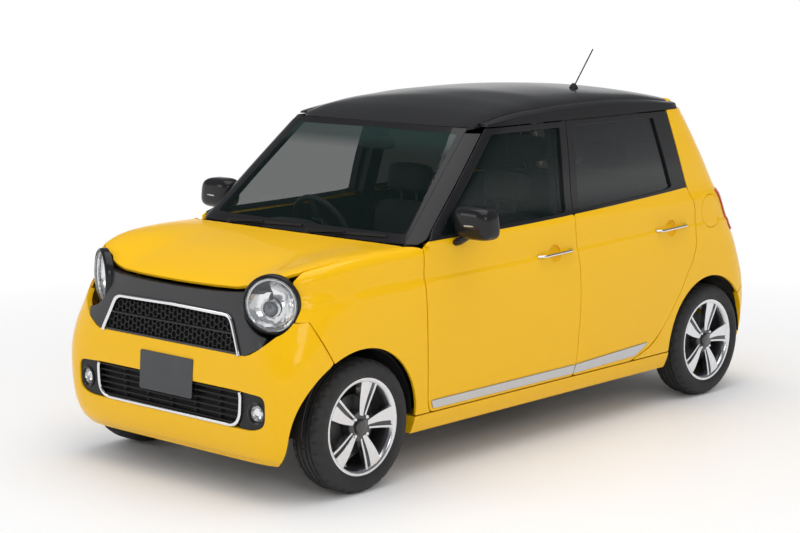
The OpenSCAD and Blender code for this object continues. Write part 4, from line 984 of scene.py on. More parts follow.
z1 = np.linspace(DOOR_Z, DOOR_TOP + 4, 60)
gap = 9 + 22 * (1 - ease((z1 - DOOR_Z) / 150))
z2 = np.linspace(DOOR_TOP + 4, 590, 50)
quarter_outline = chain(pts(rear_edge(z1) + gap, z1), pts(gate_u(z2), z2),
    [[float(corner_u(np.array(650.0), np.array(572.0), False)), 572.0]], arch(REAR_Y, 40, 181.5, 70))
us = np.linspace(rear_edge(np.array(870.0)) + 20, gate_u(np.array(880.0)) - 20, 90)
crease = crease_lines(us)
lid_at = np.array([NOSE_Y + 2981, CREASE_Z + 79])
quarter_left = panel_data(quarter_outline, side_skin, [lid_at + oval(85, 85, 60)], step=28, edge=12,
    depth=12, lines=crease)
quarter = panel_data(quarter_outline, side_skin, step=28, edge=12, depth=12, lines=crease)
fuel_cup = panel_data(lid_at + oval(90, 90, 40), lambda u, z: side_skin(u, z) - [10, 0, 0], step=40,
    edge=14, roll=1, depth=3)
dress(build("fuel_lid_skin", *panel_data(lid_at + oval(79, 79, 72), side_skin, step=24, edge=8, roll=2.5,
    depth=7)), paint, "fuel_lid", "yellow_paint", "fuel_lid")
trim = panel_data(quarter_outline, lambda u, z: side_skin(u, z) - [0.93 * 30, 12, 0], step=70, edge=30,
    roll=0, depth=1, flip=True)
dress(build("quarter_skins", *join_data(quarter_left, mirrored(quarter))), paint, "body", "yellow_paint",
    "quarters")
dress(build("quarter_linings", *join_data(trim, mirrored(trim), fuel_cup)), dark_plastic, "body",
    "dark_plastic")

# Rear bumper, tailgate and tail lamps: the bumper is moulded, the tailgate a
# pressed lid with its own glass, the lamps red lenses on the corners.
def tail_skin_wide(s, z):
    w, rc = half_at(tail_at(z), z), tail_at(z) - TAIL_LEN
    u = rc + w * (np.pi / 2 - np.abs(s) / TAIL_LEN)
    return lower_skin(u, z) * pts(np.where(s < 0, -1.0, 1.0), np.ones_like(s), np.ones_like(s))


def on_tail(u, z):
    w, rc = half_at(tail_at(z), z), tail_at(z) - TAIL_LEN
    return pts(TAIL_LEN * (np.pi / 2 - (u - rc) / w), z)


tail_side = chain([[float(corner_u(np.array(640.0), np.array(566.0), False)), 564.0]],
    arch(REAR_Y, 38, -13.2, 40))
half_line = chain([[0, 566]], on_tail(tail_side[:, 0], tail_side[:, 1]), [[0, 205]])
tail_outline = both_sides(half_line)
dress(build("rear_bumper_skin",
    *panel_data(tail_outline, tail_skin_wide, step=28, edge=12, depth=24, roll=4, flip=True)), paint,
    "body", "yellow_paint", "rear_bumper")
z = np.linspace(582, 1488, 60)
gate_line = pts(gate_half(z), z)
gate_outline = soften(resample(both_sides(gate_line, slice(None)), 60), 20, 3)
z = np.linspace(1050, 1420, 20)
pane_line = pts(0.87 * gate_half(z), z)
pane_outline = soften(resample(both_sides(pane_line, slice(None)), 60), 30, 3)
gate_data = panel_data(gate_outline, tail_skin, [pane_outline], step=28, edge=12, depth=34, roll=2.5,
    flip=True)
lining = panel_data(gate_outline * [0.98, 1], lambda x, z: tail_skin(x, z) - [0, 37, 0], [pane_outline],
    step=60, edge=14, roll=1, depth=1)
dress(build("tailgate_skin", *gate_data), paint, "tailgate", "yellow_paint", "tailgate")
dress(build("tailgate_trim", *lining), dark_plastic, "tailgate", "dark_plastic")
dress(build("tailgate_pane", *panel_data(pane_outline, lambda x, z: tail_skin(x, z) - [0, 4, 0], step=40,
    edge=16, roll=4, depth=4, flip=True)), privacy, "tailgate", "privacy_glass", "rear_glass")
def ribs(t):
    return t.node("ShaderNodeTexWave", Vector=t.place(), Scale=26.0, Distortion=0.0,
        settings={"bands_direction": "Z"})


red = finish("lamp_red", Base_Color=lambda t: ribs(t).blend((0.3, 0.003, 0.005, 1),
    (0.55, 0.012, 0.012, 1)),
    Normal=lambda t: t.bump(ribs(t), 0.3, 0.002), Roughness=0.08, Coat_Weight=1.0, Coat_Roughness=0.02)
z = np.linspace(822, 1030, 24)
lamp_outline = soften(resample(chain(pts(gate_u(z) - 6, z),
    pts(gate_u(z[::-1]) - 112 + 20 * np.linspace(0, 1, 24), z[::-1])), 40), 18, 3)
lens = panel_data(lamp_outline, side_skin, step=20, edge=9, roll=5, depth=8, lift=8)
dress(build("tail_lamp_lenses", *join_data(lens, mirrored(lens))), red, "body", "lamp_red", "tail_lamps")

# Headlamps: black bezels round bright bowls, with a low-set projector and a
# clear domed lens. They sit in the corners of the mask.
def carried(points, matrix):
    """Points moved by a matrix."""
    m = np.array(matrix)
    return points @ m[:3, :3].T + m[:3, 3]


def turn_data(profile, segments, matrix):
    """A turned form: (radius, height) points spun about an axis."""
    profile = np.asarray(profile, float)
    a = np.linspace(0, 2 * np.pi, segments, endpoint=False)
    ring = pts(np.cos(a), np.sin(a))
    v = np.concatenate([pts(ring[:, 0] * r, ring[:, 1] * r, np.full(segments, h)) for r, h in profile])
    return carried(v, matrix), band_faces(len(profile), segments)


bright = finish("reflector", Base_Color=(0.86, 0.87, 0.88, 1), Roughness=uneven(30.0, 2.0, 0.08, 0.1),
    Normal=lambda t: t.bump(t.pebbles(60.0), 0.25, 0.004), Metallic=1.0)
clear = finish("lamp_clear", Base_Color=(0.9, 0.93, 0.95, 1), Alpha=lambda t: t.rim(0.3) * 0.5 + 0.07,
    Roughness=uneven(20.0, 2.0, 0.01, 0.02), IOR=1.5, Coat_Weight=1.0, Specular_IOR_Level=1.0)


def facing(at, turn, side=1):
    """The placing of a lamp whose axis points forward and is turned outward."""
    aim = Matrix.Rotation(turn, 4, "Z") @ Matrix.Rotation(math.pi / 2, 4, "X")
    m = Matrix.Translation(Vector(at)) @ aim
    return m if side > 0 else Matrix.Scale(-1, 4, Vector((1, 0, 0))) @ m


def pair(make):
    return make(1) + make(-1)


head = lambda side: facing(LAMP_AT, LAMP_TURN, side)
bezel_line = [(112, -30), (111, 4), (112, 8), (114, 10), (117, 10), (121, 7), (124, 1), (125, -8),
    (124, -26)]
dress(solid("headlamp_bezels", pair(lambda s: [turn_data(bezel_line, 96, head(s))])), black_paint, "body",
    "black_paint", "headlamps")
bowl_line = [(111, -2), (106, -12), (97, -24), (84, -36), (66, -46), (42, -54), (0.5, -58)]
projector = lambda s: head(s) @ Matrix.Translation(Vector((-14, -22, -40)))
bowls = solid("headlamp_bowls", pair(lambda s: [turn_data(bowl_line, 64, head(s)),
    turn_data([(38, -8), (38, 12), (35, 16), (31, 13), (29, 4)], 48, projector(s)),
    turn_data([(108, -4), (105, 0), (99, -3), (99, -9)], 64, head(s))]))
dress(bowls, bright, "body", "lamp_clear")
eyes = solid("headlamp_eyes", pair(lambda s: [turn_data([(29, 4), (27, 10), (23, 16), (16, 21), (8, 24),
    (0.3, 25)], 48, projector(s))]))
eye_glass = finish("projector_glass", Base_Color=mottle(25.0, 2.0, (0.03, 0.04, 0.05), (0.12, 0.14, 0.17)),
    Roughness=0.03, Coat_Weight=1.0, Metallic=0.2)
dress(eyes, eye_glass, "body", "lamp_clear")
lens_line = [(112, 4), (106, 9.5), (93, 15), (76, 20), (56, 24), (36, 26.6), (17, 27.8), (0.3, 28)]
dress(solid("headlamp_lenses", pair(lambda s: [turn_data(lens_line, 96, head(s))])), clear, "body",
    "lamp_clear")

# Upper grille: a honeycomb moulding in a chrome frame, with its badge place
# left bare.
def ring_path(loop, out):
    p = front_skin(loop[:, 0], loop[:, 1])
    return p - [0, out, 0]


chrome_line = resample(soften([[430, 600], [424, 618], [358, 758], [0, 764], [-358, 758], [-424, 618],
    [-430, 600]], [1, 20, 34, 1, 34, 20, 1])[5:-5], 8, False)
dress(solid("upper_grille_frame", [tube_data(ring_path(chrome_line, 3), oval(9, 5, 12), False, (0, 1, 0))],
    60), chrome, "body", "chassis_steel")
cells = []
hex_r = 17.0
for i in range(-20, 21):
    for j in range(0, 8):
        cx, cz = i * hex_r * 1.5, 622 + j * hex_r * 1.732 + (hex_r * 0.866 if i % 2 else 0)
        if abs(cx) > 420 - (cz - 612) * 0.46 - 12 or cz > 752 or cz < 622:
            continue
        a = np.radians(np.arange(6) * 60)
        rim = np.concatenate([pts(cx + r * np.cos(a), cz + r * np.sin(a)) for r in (hex_r, hex_r - 2.6)])
        p = front_skin(rim[:, 0], rim[:, 1]) + [0, 4, 0]
        back = p[6:] + [0, 11, 0]
        v = chain(p, back)
        cells.append((v, [(k, (k + 1) % 6, 6 + (k + 1) % 6, 6 + k) for k in range(6)]
            + [(6 + k, 6 + (k + 1) % 6, 12 + (k + 1) % 6, 12 + k) for k in range(6)]))
dress(solid("upper_grille_comb", cells, 20), dark_plastic, "body", "dark_plastic", "upper_grille")
dress(build("upper_grille_back",
    *panel_data(grille_hole * [1.01, 1], lambda x, z: front_skin(x, z) + [0, 15, 0], step=80, edge=20,
    roll=1, depth=3)), dark_plastic, "body", "dark_plastic")
bar_path = front_skin(np.linspace(-395, 395, 60), np.full(60, 686.0)) + [0, 2, 0]
dress(solid("upper_grille_bar", [tube_data(bar_path, oval(4, 5, 10))], 60), black_paint, "body",
    "dark_plastic")

# Lower grille: level slats across the bumper's mouth in a chrome U, with the
# fog lamps in black pods at its ends.
slats = []
for zz in (322, 348, 374, 400, 426, 450):
    reach = 470 if zz > 330 else 440
    path = front_skin(np.linspace(-reach, reach, 60), np.full(60, float(zz))) + [0, 20, 0]
    slats.append(tube_data(path, [(-9, 2), (9, 4), (11, 0), (9, -3), (-9, -3)]))
for xx in (-300, -150, 0, 150, 300):
    path = np.array([[xx, spot_on(front_skin, xx, zz)[1] + 28, zz] for zz in np.linspace(302, 462, 8)])
    slats.append(tube_data(path, oval(4, 6, 8), False, (1, 0, 0)))
dress(solid("lower_grille_slats", slats, 40), dark_plastic, "body", "dark_plastic", "lower_grille")
floor_line = soften([[-604, 470], [-604, 318], [-530, 290], [530, 290], [604, 318], [604, 470]], 40)
dress(build("lower_grille_back",
    *panel_data(floor_line, lambda x, z: front_skin(x, z) + [0, 38, 0], step=70, edge=20, roll=1, depth=3)),
    dark_plastic, "body", "dark_plastic")
u_line = resample(soften([[452, 470], [446, 350], [410, 312], [-410, 312], [-446, 350], [-452, 470]],
    40)[3:-3], 8, False)
dress(solid("lower_grille_frame", [tube_data(ring_path(u_line, -2), oval(8, 5, 12), False, (0, 1, 0))], 60),
    chrome, "body", "chassis_steel")


def pod_line(side):
    return soften(np.array([[462, 466], [600, 462], [600, 330], [530, 300], [430, 306], [458, 350]], float)
        * [side, 1], 26)


fog_at = np.array([535.0, spot_on(front_skin, 535, 379)[1], 379.0])
pod_hole = fog_at[[0, 2]] + oval(46, 46, 40)
pods = join_data(*[panel_data(pod_line(s), lambda x, z: front_skin(x, z) + [0, 9, 0], [pod_hole * [s, 1]],
    step=22, edge=9, roll=3, depth=26) for s in (1, -1)])
dress(build("fog_pods", *pods), dark_plastic, "body", "dark_plastic")
fog = lambda side: facing(fog_at + [0, 14, 0], math.radians(6), side)
dress(solid("fog_rings", pair(lambda s: [turn_data([(33, -24), (33, 0), (36, 6), (43, 9), (48, 7), (49, 2),
    (48, -6)], 64, fog(s))])), black_paint, "body", "lamp_clear", "fog_lamps")
dress(solid("fog_bowls", pair(lambda s: [turn_data([(33, -2), (30, -10), (23, -16), (13, -19), (11, -6),
    (0.3, -5)], 48, fog(s))])), bright, "body", "lamp_clear")
dress(solid("fog_lenses", pair(lambda s: [turn_data([(33.5, 0), (28, 4), (20, 6.5), (10, 8), (0.3, 8.4)],
    48, fog(s))])), clear, "body", "lamp_clear")

# Number plate: a blank dark plate, screwed to a bracket on the front bumper
# and leaning back a little.
plate_dark = finish("plate_dark", Base_Color=mottle(6.0, 3.0, (0.014, 0.016, 0.02), (0.032, 0.034, 0.04)),
    Roughness=0.35, Coat_Weight=0.3)
lean = Matrix.Translation(Vector((0, NOSE_Y + 3, 470))) @ Matrix.Rotation(math.radians(-3.5), 4, "X")


def on_plate(x, z):
    return carried(pts(x, 0 * x, z), lean)


dress(build("number_plate", *panel_data(soften([[-165, -82], [165, -82], [165, 82], [-165, 82]], 9),
    on_plate, step=60, edge=8, roll=1.2, depth=3)), plate_dark, "body", "dark_plastic", "plate_bracket")

# Tyres: moulded rubber with a ribbed tread and cut shoulder blocks, seated on
# the rims of the four wheels.
rubber = finish("tyre_rubber", Base_Color=mottle(30.0, 5.0, (0.009, 0.009, 0.01), (0.024, 0.024, 0.025)),
    Roughness=uneven(11.0, 4.0, 0.55, 0.25), Normal=grain(700.0, 2.0, 0.1, 0.0006))
WHEEL_X, TREAD_R, GROOVE_R = 652.5, 281.0, 274.5
side_wall = [(192, 68), (206, 70), (212, 75), (220, 79.5), (236, 82), (252, 80.5), (262, 76), (268, 71),
    (273, 66)]
crown = [(277.5, 58), (279.6, 50)]
for centre in (38, 14):
    crown += [(TREAD_R, centre + 6), (GROOVE_R, centre + 4), (GROOVE_R, centre - 4), (TREAD_R, centre - 6)]
half_tyre = side_wall + crown
tyre_line = half_tyre + [(r, -h) for r, h in half_tyre[::-1]]
SEGMENTS = 280


def spin_place(side, y):
    m = Matrix.Translation(Vector((WHEEL_X, y, HUB_Z))) @ Matrix.Rotation(math.pi / 2, 4, "Y")
    return m if side > 0 else Matrix.Scale(-1, 4, Vector((1, 0, 0))) @ m


def tyre_data(place):
    v, f = turn_data(tyre_line, SEGMENTS, Matrix.Identity(4))
    v = v.reshape(len(tyre_line), SEGMENTS, 3)
    spots = np.arange(SEGMENTS)
    for i, (r, h) in enumerate(tyre_line):
        if 262 < r < 280.5 and abs(h) > 44:
            cut = ((spots + (4 if h > 0 else 0)) % 8) < 2
            v[i, cut, :2] *= (r - (5.5 if r > 270 else 2.5)) / r
        elif r > 280.9 and abs(h) < 44:
            cut = ((spots + int(abs(h) / 4)) % 10) < 1
            v[i, cut, :2] *= (r - 4) / r
    return carried(v.reshape(-1, 3), place), f


corners = [("front_left", 1, FRONT_Y), ("front_right", -1, FRONT_Y), ("rear_left", 1, REAR_Y),
    ("rear_right", -1, REAR_Y)]
for word, side, y in corners:
    dress(solid("tyre_" + word + "_tread", [tyre_data(spin_place(side, y))], 35), rubber, "wheel_" + word,
        "tyre_rubber", "tyre_" + word)

# Wheels: cast alloy, five paired spokes with machined faces over black pockets,
# four nuts and a plain centre cap.
machined = finish("alloy_machined", Base_Color=mottle(50.0, 3.0, (0.66, 0.67, 0.69), (0.8, 0.81, 0.83)),
    Roughness=uneven(260.0, 3.0, 0.16, 0.16), Metallic=1.0, Coat_Weight=0.5)
alloy_dark = finish("alloy_dark", Base_Color=mottle(80.0, 3.0, (0.01, 0.01, 0.012), (0.026, 0.026, 0.029)),
    Roughness=uneven(60.0, 3.0, 0.25, 0.2), Coat_Weight=0.8)


def face_at(a, b, drop=0.0):
    r = np.hypot(a, b)
    return pts(a, b, 60 + 8 * ease((r - 40) / 140) - drop)


def spoke(angle, r0, r1, w0, w1, shift0, shift1, bend):
    r = np.linspace(r0, r1, 16)
    f = (r - r0) / (r1 - r0)
    mid, half_width = shift0 + (shift1 - shift0) * f + bend * np.sin(f * math.pi), (w0 + (w1 - w0) * f) / 2
    line = chain(pts(r, mid - half_width), pts(r[::-1], (mid + half_width)[::-1]))
    c, s = math.cos(angle), math.sin(angle)
    return line @ np.array([[c, s], [-s, c]])


blades, lines, channels = [], [], []
for k in range(5):
    a = math.radians(90 + 72 * k)
    blades.append(panel_data(spoke(a, 46, 186, 17, 60, 9, 27, 5), face_at, step=14, edge=7, roll=2,
        depth=30))
    lines.append(panel_data(spoke(a, 52, 186, 6, 9, -13, -30, 2), face_at, step=14, edge=6, roll=1.5,
        depth=26))
    channels.append(panel_data(spoke(a, 40, 186, 30, 52, -2, -4, 5), lambda p, q: face_at(p, q, 9), step=16,
        edge=8, roll=1, depth=22))


def placed(data, place):
    v, f, n = data
    m = np.array(place)
    flip = np.linalg.det(m[:3, :3]) < 0
    return carried(v, place), [g[::-1] for g in f] if flip else f, n @ m[:3, :3].T


faces_data, dark_data = join_data(*blades, *lines), join_data(*channels)
lip_line = [(183, 56), (187, 66), (192, 71), (199, 73.5), (205, 73), (206.5, 70), (205, 67)]
barrel_line = [(205, 67), (198, 64), (189, 58), (176, 40), (174, 10), (174, -40), (178, -60), (189, -66),
    (200, -68)]
hub_line = [(66, 20), (66, 48), (62, 56), (54, 58), (34, 58)]
cap_line = [(34, 58), (33, 66), (29, 69), (16, 70.5), (0.3, 71)]
disc_line = [(40, 6), (128, 6), (128, -4), (40, -4)]
steel = finish("chassis_steel", Base_Color=mottle(18.0, 5.0, (0.05, 0.05, 0.052), (0.14, 0.135, 0.13)),
    Roughness=uneven(40.0, 4.0, 0.38, 0.3), Normal=grain(300.0, 3.0, 0.12, 0.001), Metallic=0.6)
for word, side, y in corners:
    place, body = spin_place(side, y), "wheel_" + word
    dress(build("wheel_" + word + "_faces", *placed(faces_data, place)), machined, body, "alloy",
        "wheel_" + word)
    dress(build("wheel_" + word + "_channels", *placed(dark_data, place)), alloy_dark, body, "alloy")
    dress(solid("wheel_" + word + "_lip", [turn_data(lip_line, 128, place)]), machined, body, "alloy")
    dress(solid("wheel_" + word + "_barrel",
        [turn_data(barrel_line, 96, place), turn_data(hub_line, 64, place),
        turn_data(cap_line, 48, place)]), alloy_dark, body, "alloy")
    nuts = [turn_data([(8.5, 50), (8.5, 64), (6.5, 67), (0.3, 67)], 6,
        place @ Matrix.Translation(Vector((50 * math.cos(n), 50 * math.sin(n), 0))))
        for n in np.radians([45, 135, 225, 315])]
    dress(solid("wheel_" + word + "_nuts", nuts, 30), chrome, body, "alloy")
    dress(solid("brake_disc_" + word, [turn_data(disc_line, 64, place)]), steel, body, "chassis_steel")

# Door mirrors: gloss black shells on short feet, each with a mirror glass
# behind and a slim turn lamp in front.
def bulb(centre, size, power, n=40, m=28):
    a, b = np.meshgrid(np.linspace(0, 2 * np.pi, n, endpoint=False), np.linspace(-np.pi / 2, np.pi / 2, m))
    def soft(v):
        return np.sign(v) * np.abs(v) ** power
    p = pts(soft(np.cos(b)) * soft(np.cos(a)), soft(np.cos(b)) * soft(np.sin(a)), soft(np.sin(b)))
    v = (p * size + centre).reshape(-1, 3)
    return v, band_faces(m, n)


MIRROR_AT = np.array([806.0, -620.0, 1074.0])
shell_v, shell_f = bulb(MIRROR_AT, [102, 76, 72], 0.55)
behind = shell_v[:, 1] > MIRROR_AT[1]
shell_v[behind, 1] = MIRROR_AT[1] + (shell_v[behind, 1] - MIRROR_AT[1]) * 0.4
shell_v[:, 0] += (shell_v[:, 2] - MIRROR_AT[2]) * -0.12
foot = spot_on(side_skin, -650, 985)[0]
stalk = np.array([[foot - 4, -652, 984], [foot + 18, -648, 992], [foot + 40, -640, 1008],
    [foot + 62, -630, 1030]])
mirror_parts = [(shell_v, shell_f), tube_data(stalk, oval(30, 17, 16))]
k = np.arange(11.0)
slit = MIRROR_AT + pts(10.5 * k - 20, -75 * (1 - (np.maximum(0, k - 2) / 11.5) ** 2) ** 0.5, 0.3 * k - 8)
slit_piece = [tube_data(slit, oval(3, 4, 10))]
disc = MIRROR_AT[[0, 2]] + oval(80, 54, 48)
mirror_glass = panel_data(disc, lambda x, z: pts(x, 0 * x + MIRROR_AT[1] + 31.0, z), step=40, edge=12,
    roll=1, depth=2, flip=True)
for word, side in (("left", 1), ("right", -1)):
    dress(solid("mirror_" + word + "_case", on_side(mirror_parts, side), 50), black_paint,
        "front_door_" + word, "black_paint", "mirror_" + word)
    dress(solid("mirror_" + word + "_lamp", on_side(slit_piece, side), 60), satin, "front_door_" + word,
        "lamp_clear")
    dress(build("mirror_" + word + "_glass", *(mirror_glass if side > 0 else mirrored(mirror_glass))),
        chrome, "front_door_" + word, "alloy")

# Wipers and aerial: black arms and blades parked on the foot of the
# screen, and a thin mast on a small base at the back of the roof.
wiper_parts = []
for x0, x1 in ((-470, 0), (40, 510)):
    xs = np.linspace(x0, x1, 30)
    zs = np.linspace(1001, 1016, 30)
    blade = screen_skin(xs, zs) + [0, -9, 0]
    wiper_parts.append(tube_data(blade, [(-4, -5), (4, -5), (2.5, 6), (-2.5, 6)]))
    f = np.linspace(0, 1, 14)
    arm_x, arm_z = x0 + 30 + (0.5 * (x1 - x0) - 30) * f, 994 + 17 * f
    arm = screen_skin(arm_x, arm_z) + pts(0 * f, -16 - 6 * np.sin(f * np.pi), 2 + 3 * np.sin(f * np.pi))
    wiper_parts.append(tube_data(arm, oval(4, 5, 10)))
    pivot = spot_on(screen_skin, x0 + 30, 990) + [0, -16, -8]
    wiper_parts.append(turn_data([(0.3, 22), (9, 21), (12, 16), (12, -8)], 24,
        Matrix.Translation(Vector(pivot))))
dress(solid("wiper_arms", wiper_parts), dark_plastic, "body", "dark_plastic", "wipers")
base_at = np.array([287.0, NOSE_Y + 2400, spot_on(roof_skin, 287, NOSE_Y + 2400)[2]])
tip = base_at + np.array([0, math.sin(math.radians(40)) * 235, math.cos(math.radians(40)) * 235 + 2])
steps = np.linspace(0, 1, 12)[:, None]
mast_parts = [tube_data(base_at + [0, 4, 8] + (tip - base_at - [0, 4, 8]) * steps, oval(3.2, 3.2, 12),
    False, (1, 0, 0)),
    turn_data([(0.3, 24), (9, 22), (16, 12), (22, 3), (23, -3)], 32, Matrix.Translation(Vector(base_at)))]
dress(solid("aerial", mast_parts), dark_plastic, "body", "dark_plastic", "antenna")

# Dashboard and steering: a soft-grained moulding across the cabin with a hood
# over the dials, air vents, a dark screen and a leather-rimmed wheel.
def block_data(low, high, cut=4.0):
    """A box with every edge cut off a little."""
    low, high = np.asarray(low, float), np.asarray(high, float)
    work = bmesh.new()
    bmesh.ops.create_cube(work, size=1.0)
    for v in work.verts:
        v.co = Vector((low + high) / 2 + np.array(v.co) * (high - low))
    bmesh.ops.bevel(work, geom=list(work.edges), offset=cut, segments=2, profile=0.5, affect="EDGES")
    work.verts.index_update()
    data = np.array([tuple(v.co) for v in work.verts]), [tuple(v.index for v in f.verts)
        for f in work.faces]
    work.free()
    return data


soft_black = finish("dash_plastic",
    Base_Color=mottle(40.0, 4.0, (0.016, 0.016, 0.018), (0.032, 0.032, 0.034)),
    Roughness=uneven(15.0, 4.0, 0.5, 0.2), Normal=lambda t: t.bump(t.pebbles(700.0), 0.2, 0.0008))
DASH_Y = NOSE_Y + 800
profile = np.array([[16, 622], [16, 900], [40, 936], [120, 948], [230, 938], [300, 912], [328, 872],
    [322, 700], [225, 622]], float)
profile = soften(profile, 34, 4)
xs = np.linspace(-594, 594, 40)
dash = []
for x in xs:
    crown = 8 * math.cos(x / 594 * math.pi / 2)
    dash.append(pts(np.full(len(profile), x), DASH_Y + profile[:, 0],
        profile[:, 1] + crown * (profile[:, 1] > 860)))
dash = np.array(dash)
n = len(profile)
dash_faces = band_faces(40, n) + [tuple(range(n)), tuple(range(39 * n, 40 * n))[::-1]]
WHEEL_AT = np.array([-330.0, NOSE_Y + 1270, 925.0])
hood = bulb(np.array([-330, DASH_Y + 250, 950]), [165, 90, 42], 0.7)
column = Matrix.Translation(Vector(WHEEL_AT)) @ Matrix.Rotation(math.radians(-66), 4, "X")
dress(solid("dash_moulding", [(dash.reshape(-1, 3), dash_faces), hood,
    turn_data([(36, -250), (36, -60), (30, -52)], 32, column)], 40), soft_black, "body", "dark_plastic",
    "dashboard")
trim_parts = [block_data([-150, DASH_Y + 318, 770], [150, DASH_Y + 332, 900], 5)]
for x in (-520, -190, 190, 520):
    trim_parts.append(turn_data([(38, -4), (40, 6), (34, 8), (30, 2), (0.3, 1)], 32,
        Matrix.Translation(Vector((x, DASH_Y + 318, 850))) @ Matrix.Rotation(-math.pi / 2, 4, "X")))
dress(solid("dash_trim", trim_parts), satin, "body", "dark_plastic")
dress(solid("dash_screen", [block_data([-112, DASH_Y + 326, 800], [112, DASH_Y + 336, 892], 3)]),
    black_paint, "body", "black_paint")
rim_path = np.array([[165 * math.cos(a), 165 * math.sin(a), 0]
    for a in np.linspace(0, 2 * math.pi, 72, endpoint=False)])
axle = tuple(np.array(column)[:3, 2])
wheel_parts = [tube_data(carried(rim_path, column), oval(15, 13, 16), True, axle)]
wheel_parts.append(turn_data([(62, -26), (62, -4), (54, 6), (30, 10), (0.3, 11)], 40, column))
for a in (0, 180, 270):
    spin = column @ Matrix.Rotation(math.radians(a), 4, "Z")
    v, f = block_data([45, -17, -13], [158, 17, 1], 5)
    wheel_parts.append((carried(v, spin), f))
wheel_parts.append(turn_data([(11, -118), (11, -20)], 24, column))
dress(solid("steering_rim", wheel_parts, 45), soft_black, "steering_wheel", "dark_plastic",
    "steering_wheel")
glass_mirror = bulb(np.array([0, -395, 1352]), [105, 16, 30], 0.5)
stem = tube_data(np.array([[0, -398, 1362], [0, -404, 1384], [0, -408, 1405]]), oval(8, 8, 12), False,
    (1, 0, 0))
dress(solid("inside_mirror", [glass_mirror, stem], 50), soft_black, "body", "dark_plastic")

# Seats: foam cushions in dark woven cloth, with bolsters and head restraints,
# on the floor runners.
cloth = finish("seat_cloth", Roughness=uneven(20.0, 3.0, 0.82, 0.12),
    Base_Color=lambda t: t.pebbles(420.0).blend((0.022, 0.022, 0.023, 1), (0.06, 0.058, 0.056, 1)),
    Normal=lambda t: t.bump(t.pebbles(420.0), 0.4, 0.001))


def cushion(name, low, high, tilt, pivot, seams=(), grow=0.02):
    """A stuffed pad: a rounded closed form, swollen by a short cloth run, with seams drawn in."""
    low, high = np.asarray(low, float), np.asarray(high, float)
    v, f = bulb((low + high) / 2, (high - low) / 2, 0.34, 48, 32)
    turn = np.array(Matrix.Rotation(math.radians(tilt), 3, "X"))
    v = (v - pivot) @ turn.T + pivot
    pad = solid(name, [(v, f)], 60)
    scene.frame_set(1)
    bpy.context.view_layer.objects.active = pad
    re = pad.modifiers.new("even", "REMESH")
    re.mode, re.voxel_size = "VOXEL", 0.016
    bpy.ops.object.modifier_apply(modifier=re.name)
    rest = np.array([tuple(q.co) for q in pad.data.vertices])
    puff = pad.modifiers.new("puff", "CLOTH")
    puff.settings.use_pressure, puff.settings.uniform_pressure_force = True, 4.0
    puff.settings.effector_weights.gravity = 0.0
    puff.settings.quality = 4
    puff.point_cache.frame_start, puff.point_cache.frame_end = 1, 20
    for k in range(1, 21):
        scene.frame_set(k)
    bpy.ops.object.modifier_apply(modifier=puff.name)
    scene.frame_set(1)
    moved = np.array([tuple(q.co) for q in pad.data.vertices]) - rest
    size = np.maximum(1e-9, np.linalg.norm(moved, axis=1))[:, None]
    pad.data.vertices.foreach_set("co", (rest + moved * np.minimum(1, grow / size)).ravel())
    mesh = pad.data
    p = np.array([tuple(q.co) for q in mesh.vertices]) * 1000
    for across, width, depth in seams:
        dip = depth * np.exp(-((p[:, 0] - across) / width) ** 2)
        centre = (low + high) / 2
        away = p - centre
        p -= away / np.maximum(1, np.linalg.norm(away, axis=1))[:, None] * dip[:, None]
    mesh.vertices.foreach_set("co", (p * 0.001).ravel())
    mesh.polygons.foreach_set("use_smooth", [True] * len(mesh.polygons))
    mesh.update()
    return pad


SEAT_Y = NOSE_Y + 1600
for word, x in (("left", 310.0), ("right", -310.0)):
    base = cushion("front_seat_" + word + "_base", [x - 228, SEAT_Y - 420, 372],
        [x + 228, SEAT_Y + 150, 498], -3, [x, SEAT_Y, 440], [(x - 150, 9, 10), (x + 150, 9, 10)])
    dress(base, cloth, "body", "seat_cloth", *(["front_seats"] if x > 0 else []))
    back = cushion("front_seat_" + word + "_back", [x - 222, SEAT_Y + 130, 470],
        [x + 222, SEAT_Y + 268, 1030], -9, [x, SEAT_Y + 190, 470], [(x - 140, 9, 10), (x + 140, 9, 10)])
    dress(back, cloth, "body", "seat_cloth")
    rest = cushion("front_seat_" + word + "_rest", [x - 125, SEAT_Y + 222, 1048],
        [x + 125, SEAT_Y + 312, 1186], -6, [x, SEAT_Y + 266, 1100])
    dress(rest, cloth, "body", "seat_cloth")
BENCH_Y = NOSE_Y + 2450
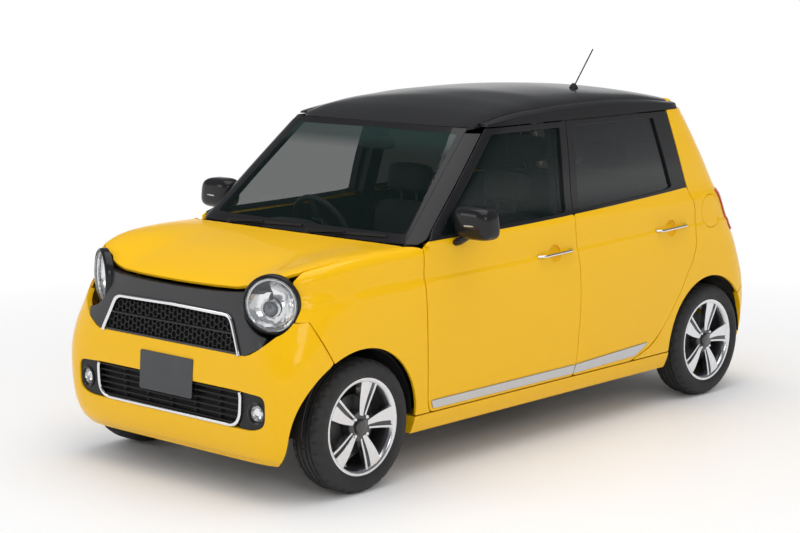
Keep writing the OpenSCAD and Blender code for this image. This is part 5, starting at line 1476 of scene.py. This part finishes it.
bench = cushion("rear_seat_base", [-505, BENCH_Y - 410, 470], [505, BENCH_Y + 150, 606], -3,
    [0, BENCH_Y, 540], [(0, 10, 12), (-300, 9, 8), (300, 9, 8)])
dress(bench, cloth, "body", "seat_cloth", "rear_seat")
bench_back = cushion("rear_seat_back", [-505, BENCH_Y + 130, 585], [505, BENCH_Y + 262, 1120], -9,
    [0, BENCH_Y + 190, 585], [(0, 10, 12), (-300, 9, 8), (300, 9, 8)])
dress(bench_back, cloth, "body", "seat_cloth")
for word, x in (("left", 250.0), ("right", -250.0)):
    rest = cushion("rear_seat_" + word + "_rest", [x - 120, BENCH_Y + 218, 1140],
        [x + 120, BENCH_Y + 300, 1270], -6, [x, BENCH_Y + 260, 1200])
    dress(rest, cloth, "body", "seat_cloth")
legs = []
for x in (310, -310):
    for dx in (-170, 170):
        legs.append(block_data([x + dx - 14, SEAT_Y - 380, 256], [x + dx + 14, SEAT_Y + 160, 380], 3))
    for dx in (-50, 50):
        legs.append(turn_data([(6, 990), (6, 1070)], 16,
            Matrix.Translation(Vector((x + dx, SEAT_Y + 262, 0)))))
dress(solid("seat_runners", legs), steel, "body", "chassis_steel")

# Running gear and underside: painted steel pressings, castings and a bare
# steel exhaust, mostly hidden in the shade under the floor.
exhaust_steel = finish("exhaust_steel", Base_Color=mottle(14.0, 5.0, (0.2, 0.17, 0.14), (0.45, 0.44, 0.42)),
    Roughness=uneven(40.0, 4.0, 0.28, 0.3), Metallic=1.0)
carpet = finish("floor_coat", Base_Color=mottle(90.0, 5.0, (0.018, 0.018, 0.018), (0.05, 0.05, 0.05)),
    Roughness=0.9, Normal=grain(500.0, 3.0, 0.4, 0.002))
finishes = {carpet: ["floor_pan"], dark_plastic: ["cowl", "wheel_liners", "fuel_tank"],
    black_paint: ["a_pillars", "b_pillars"],
    exhaust_steel: ["exhaust"], steel: ["front_frame", "engine_block", "rear_axle", "front_arms",
    "knuckle_left", "knuckle_right"]}
for material, names in finishes.items():
    for name in names:
        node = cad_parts[name]
        node.data.materials.clear()
        node.data.materials.append(material)
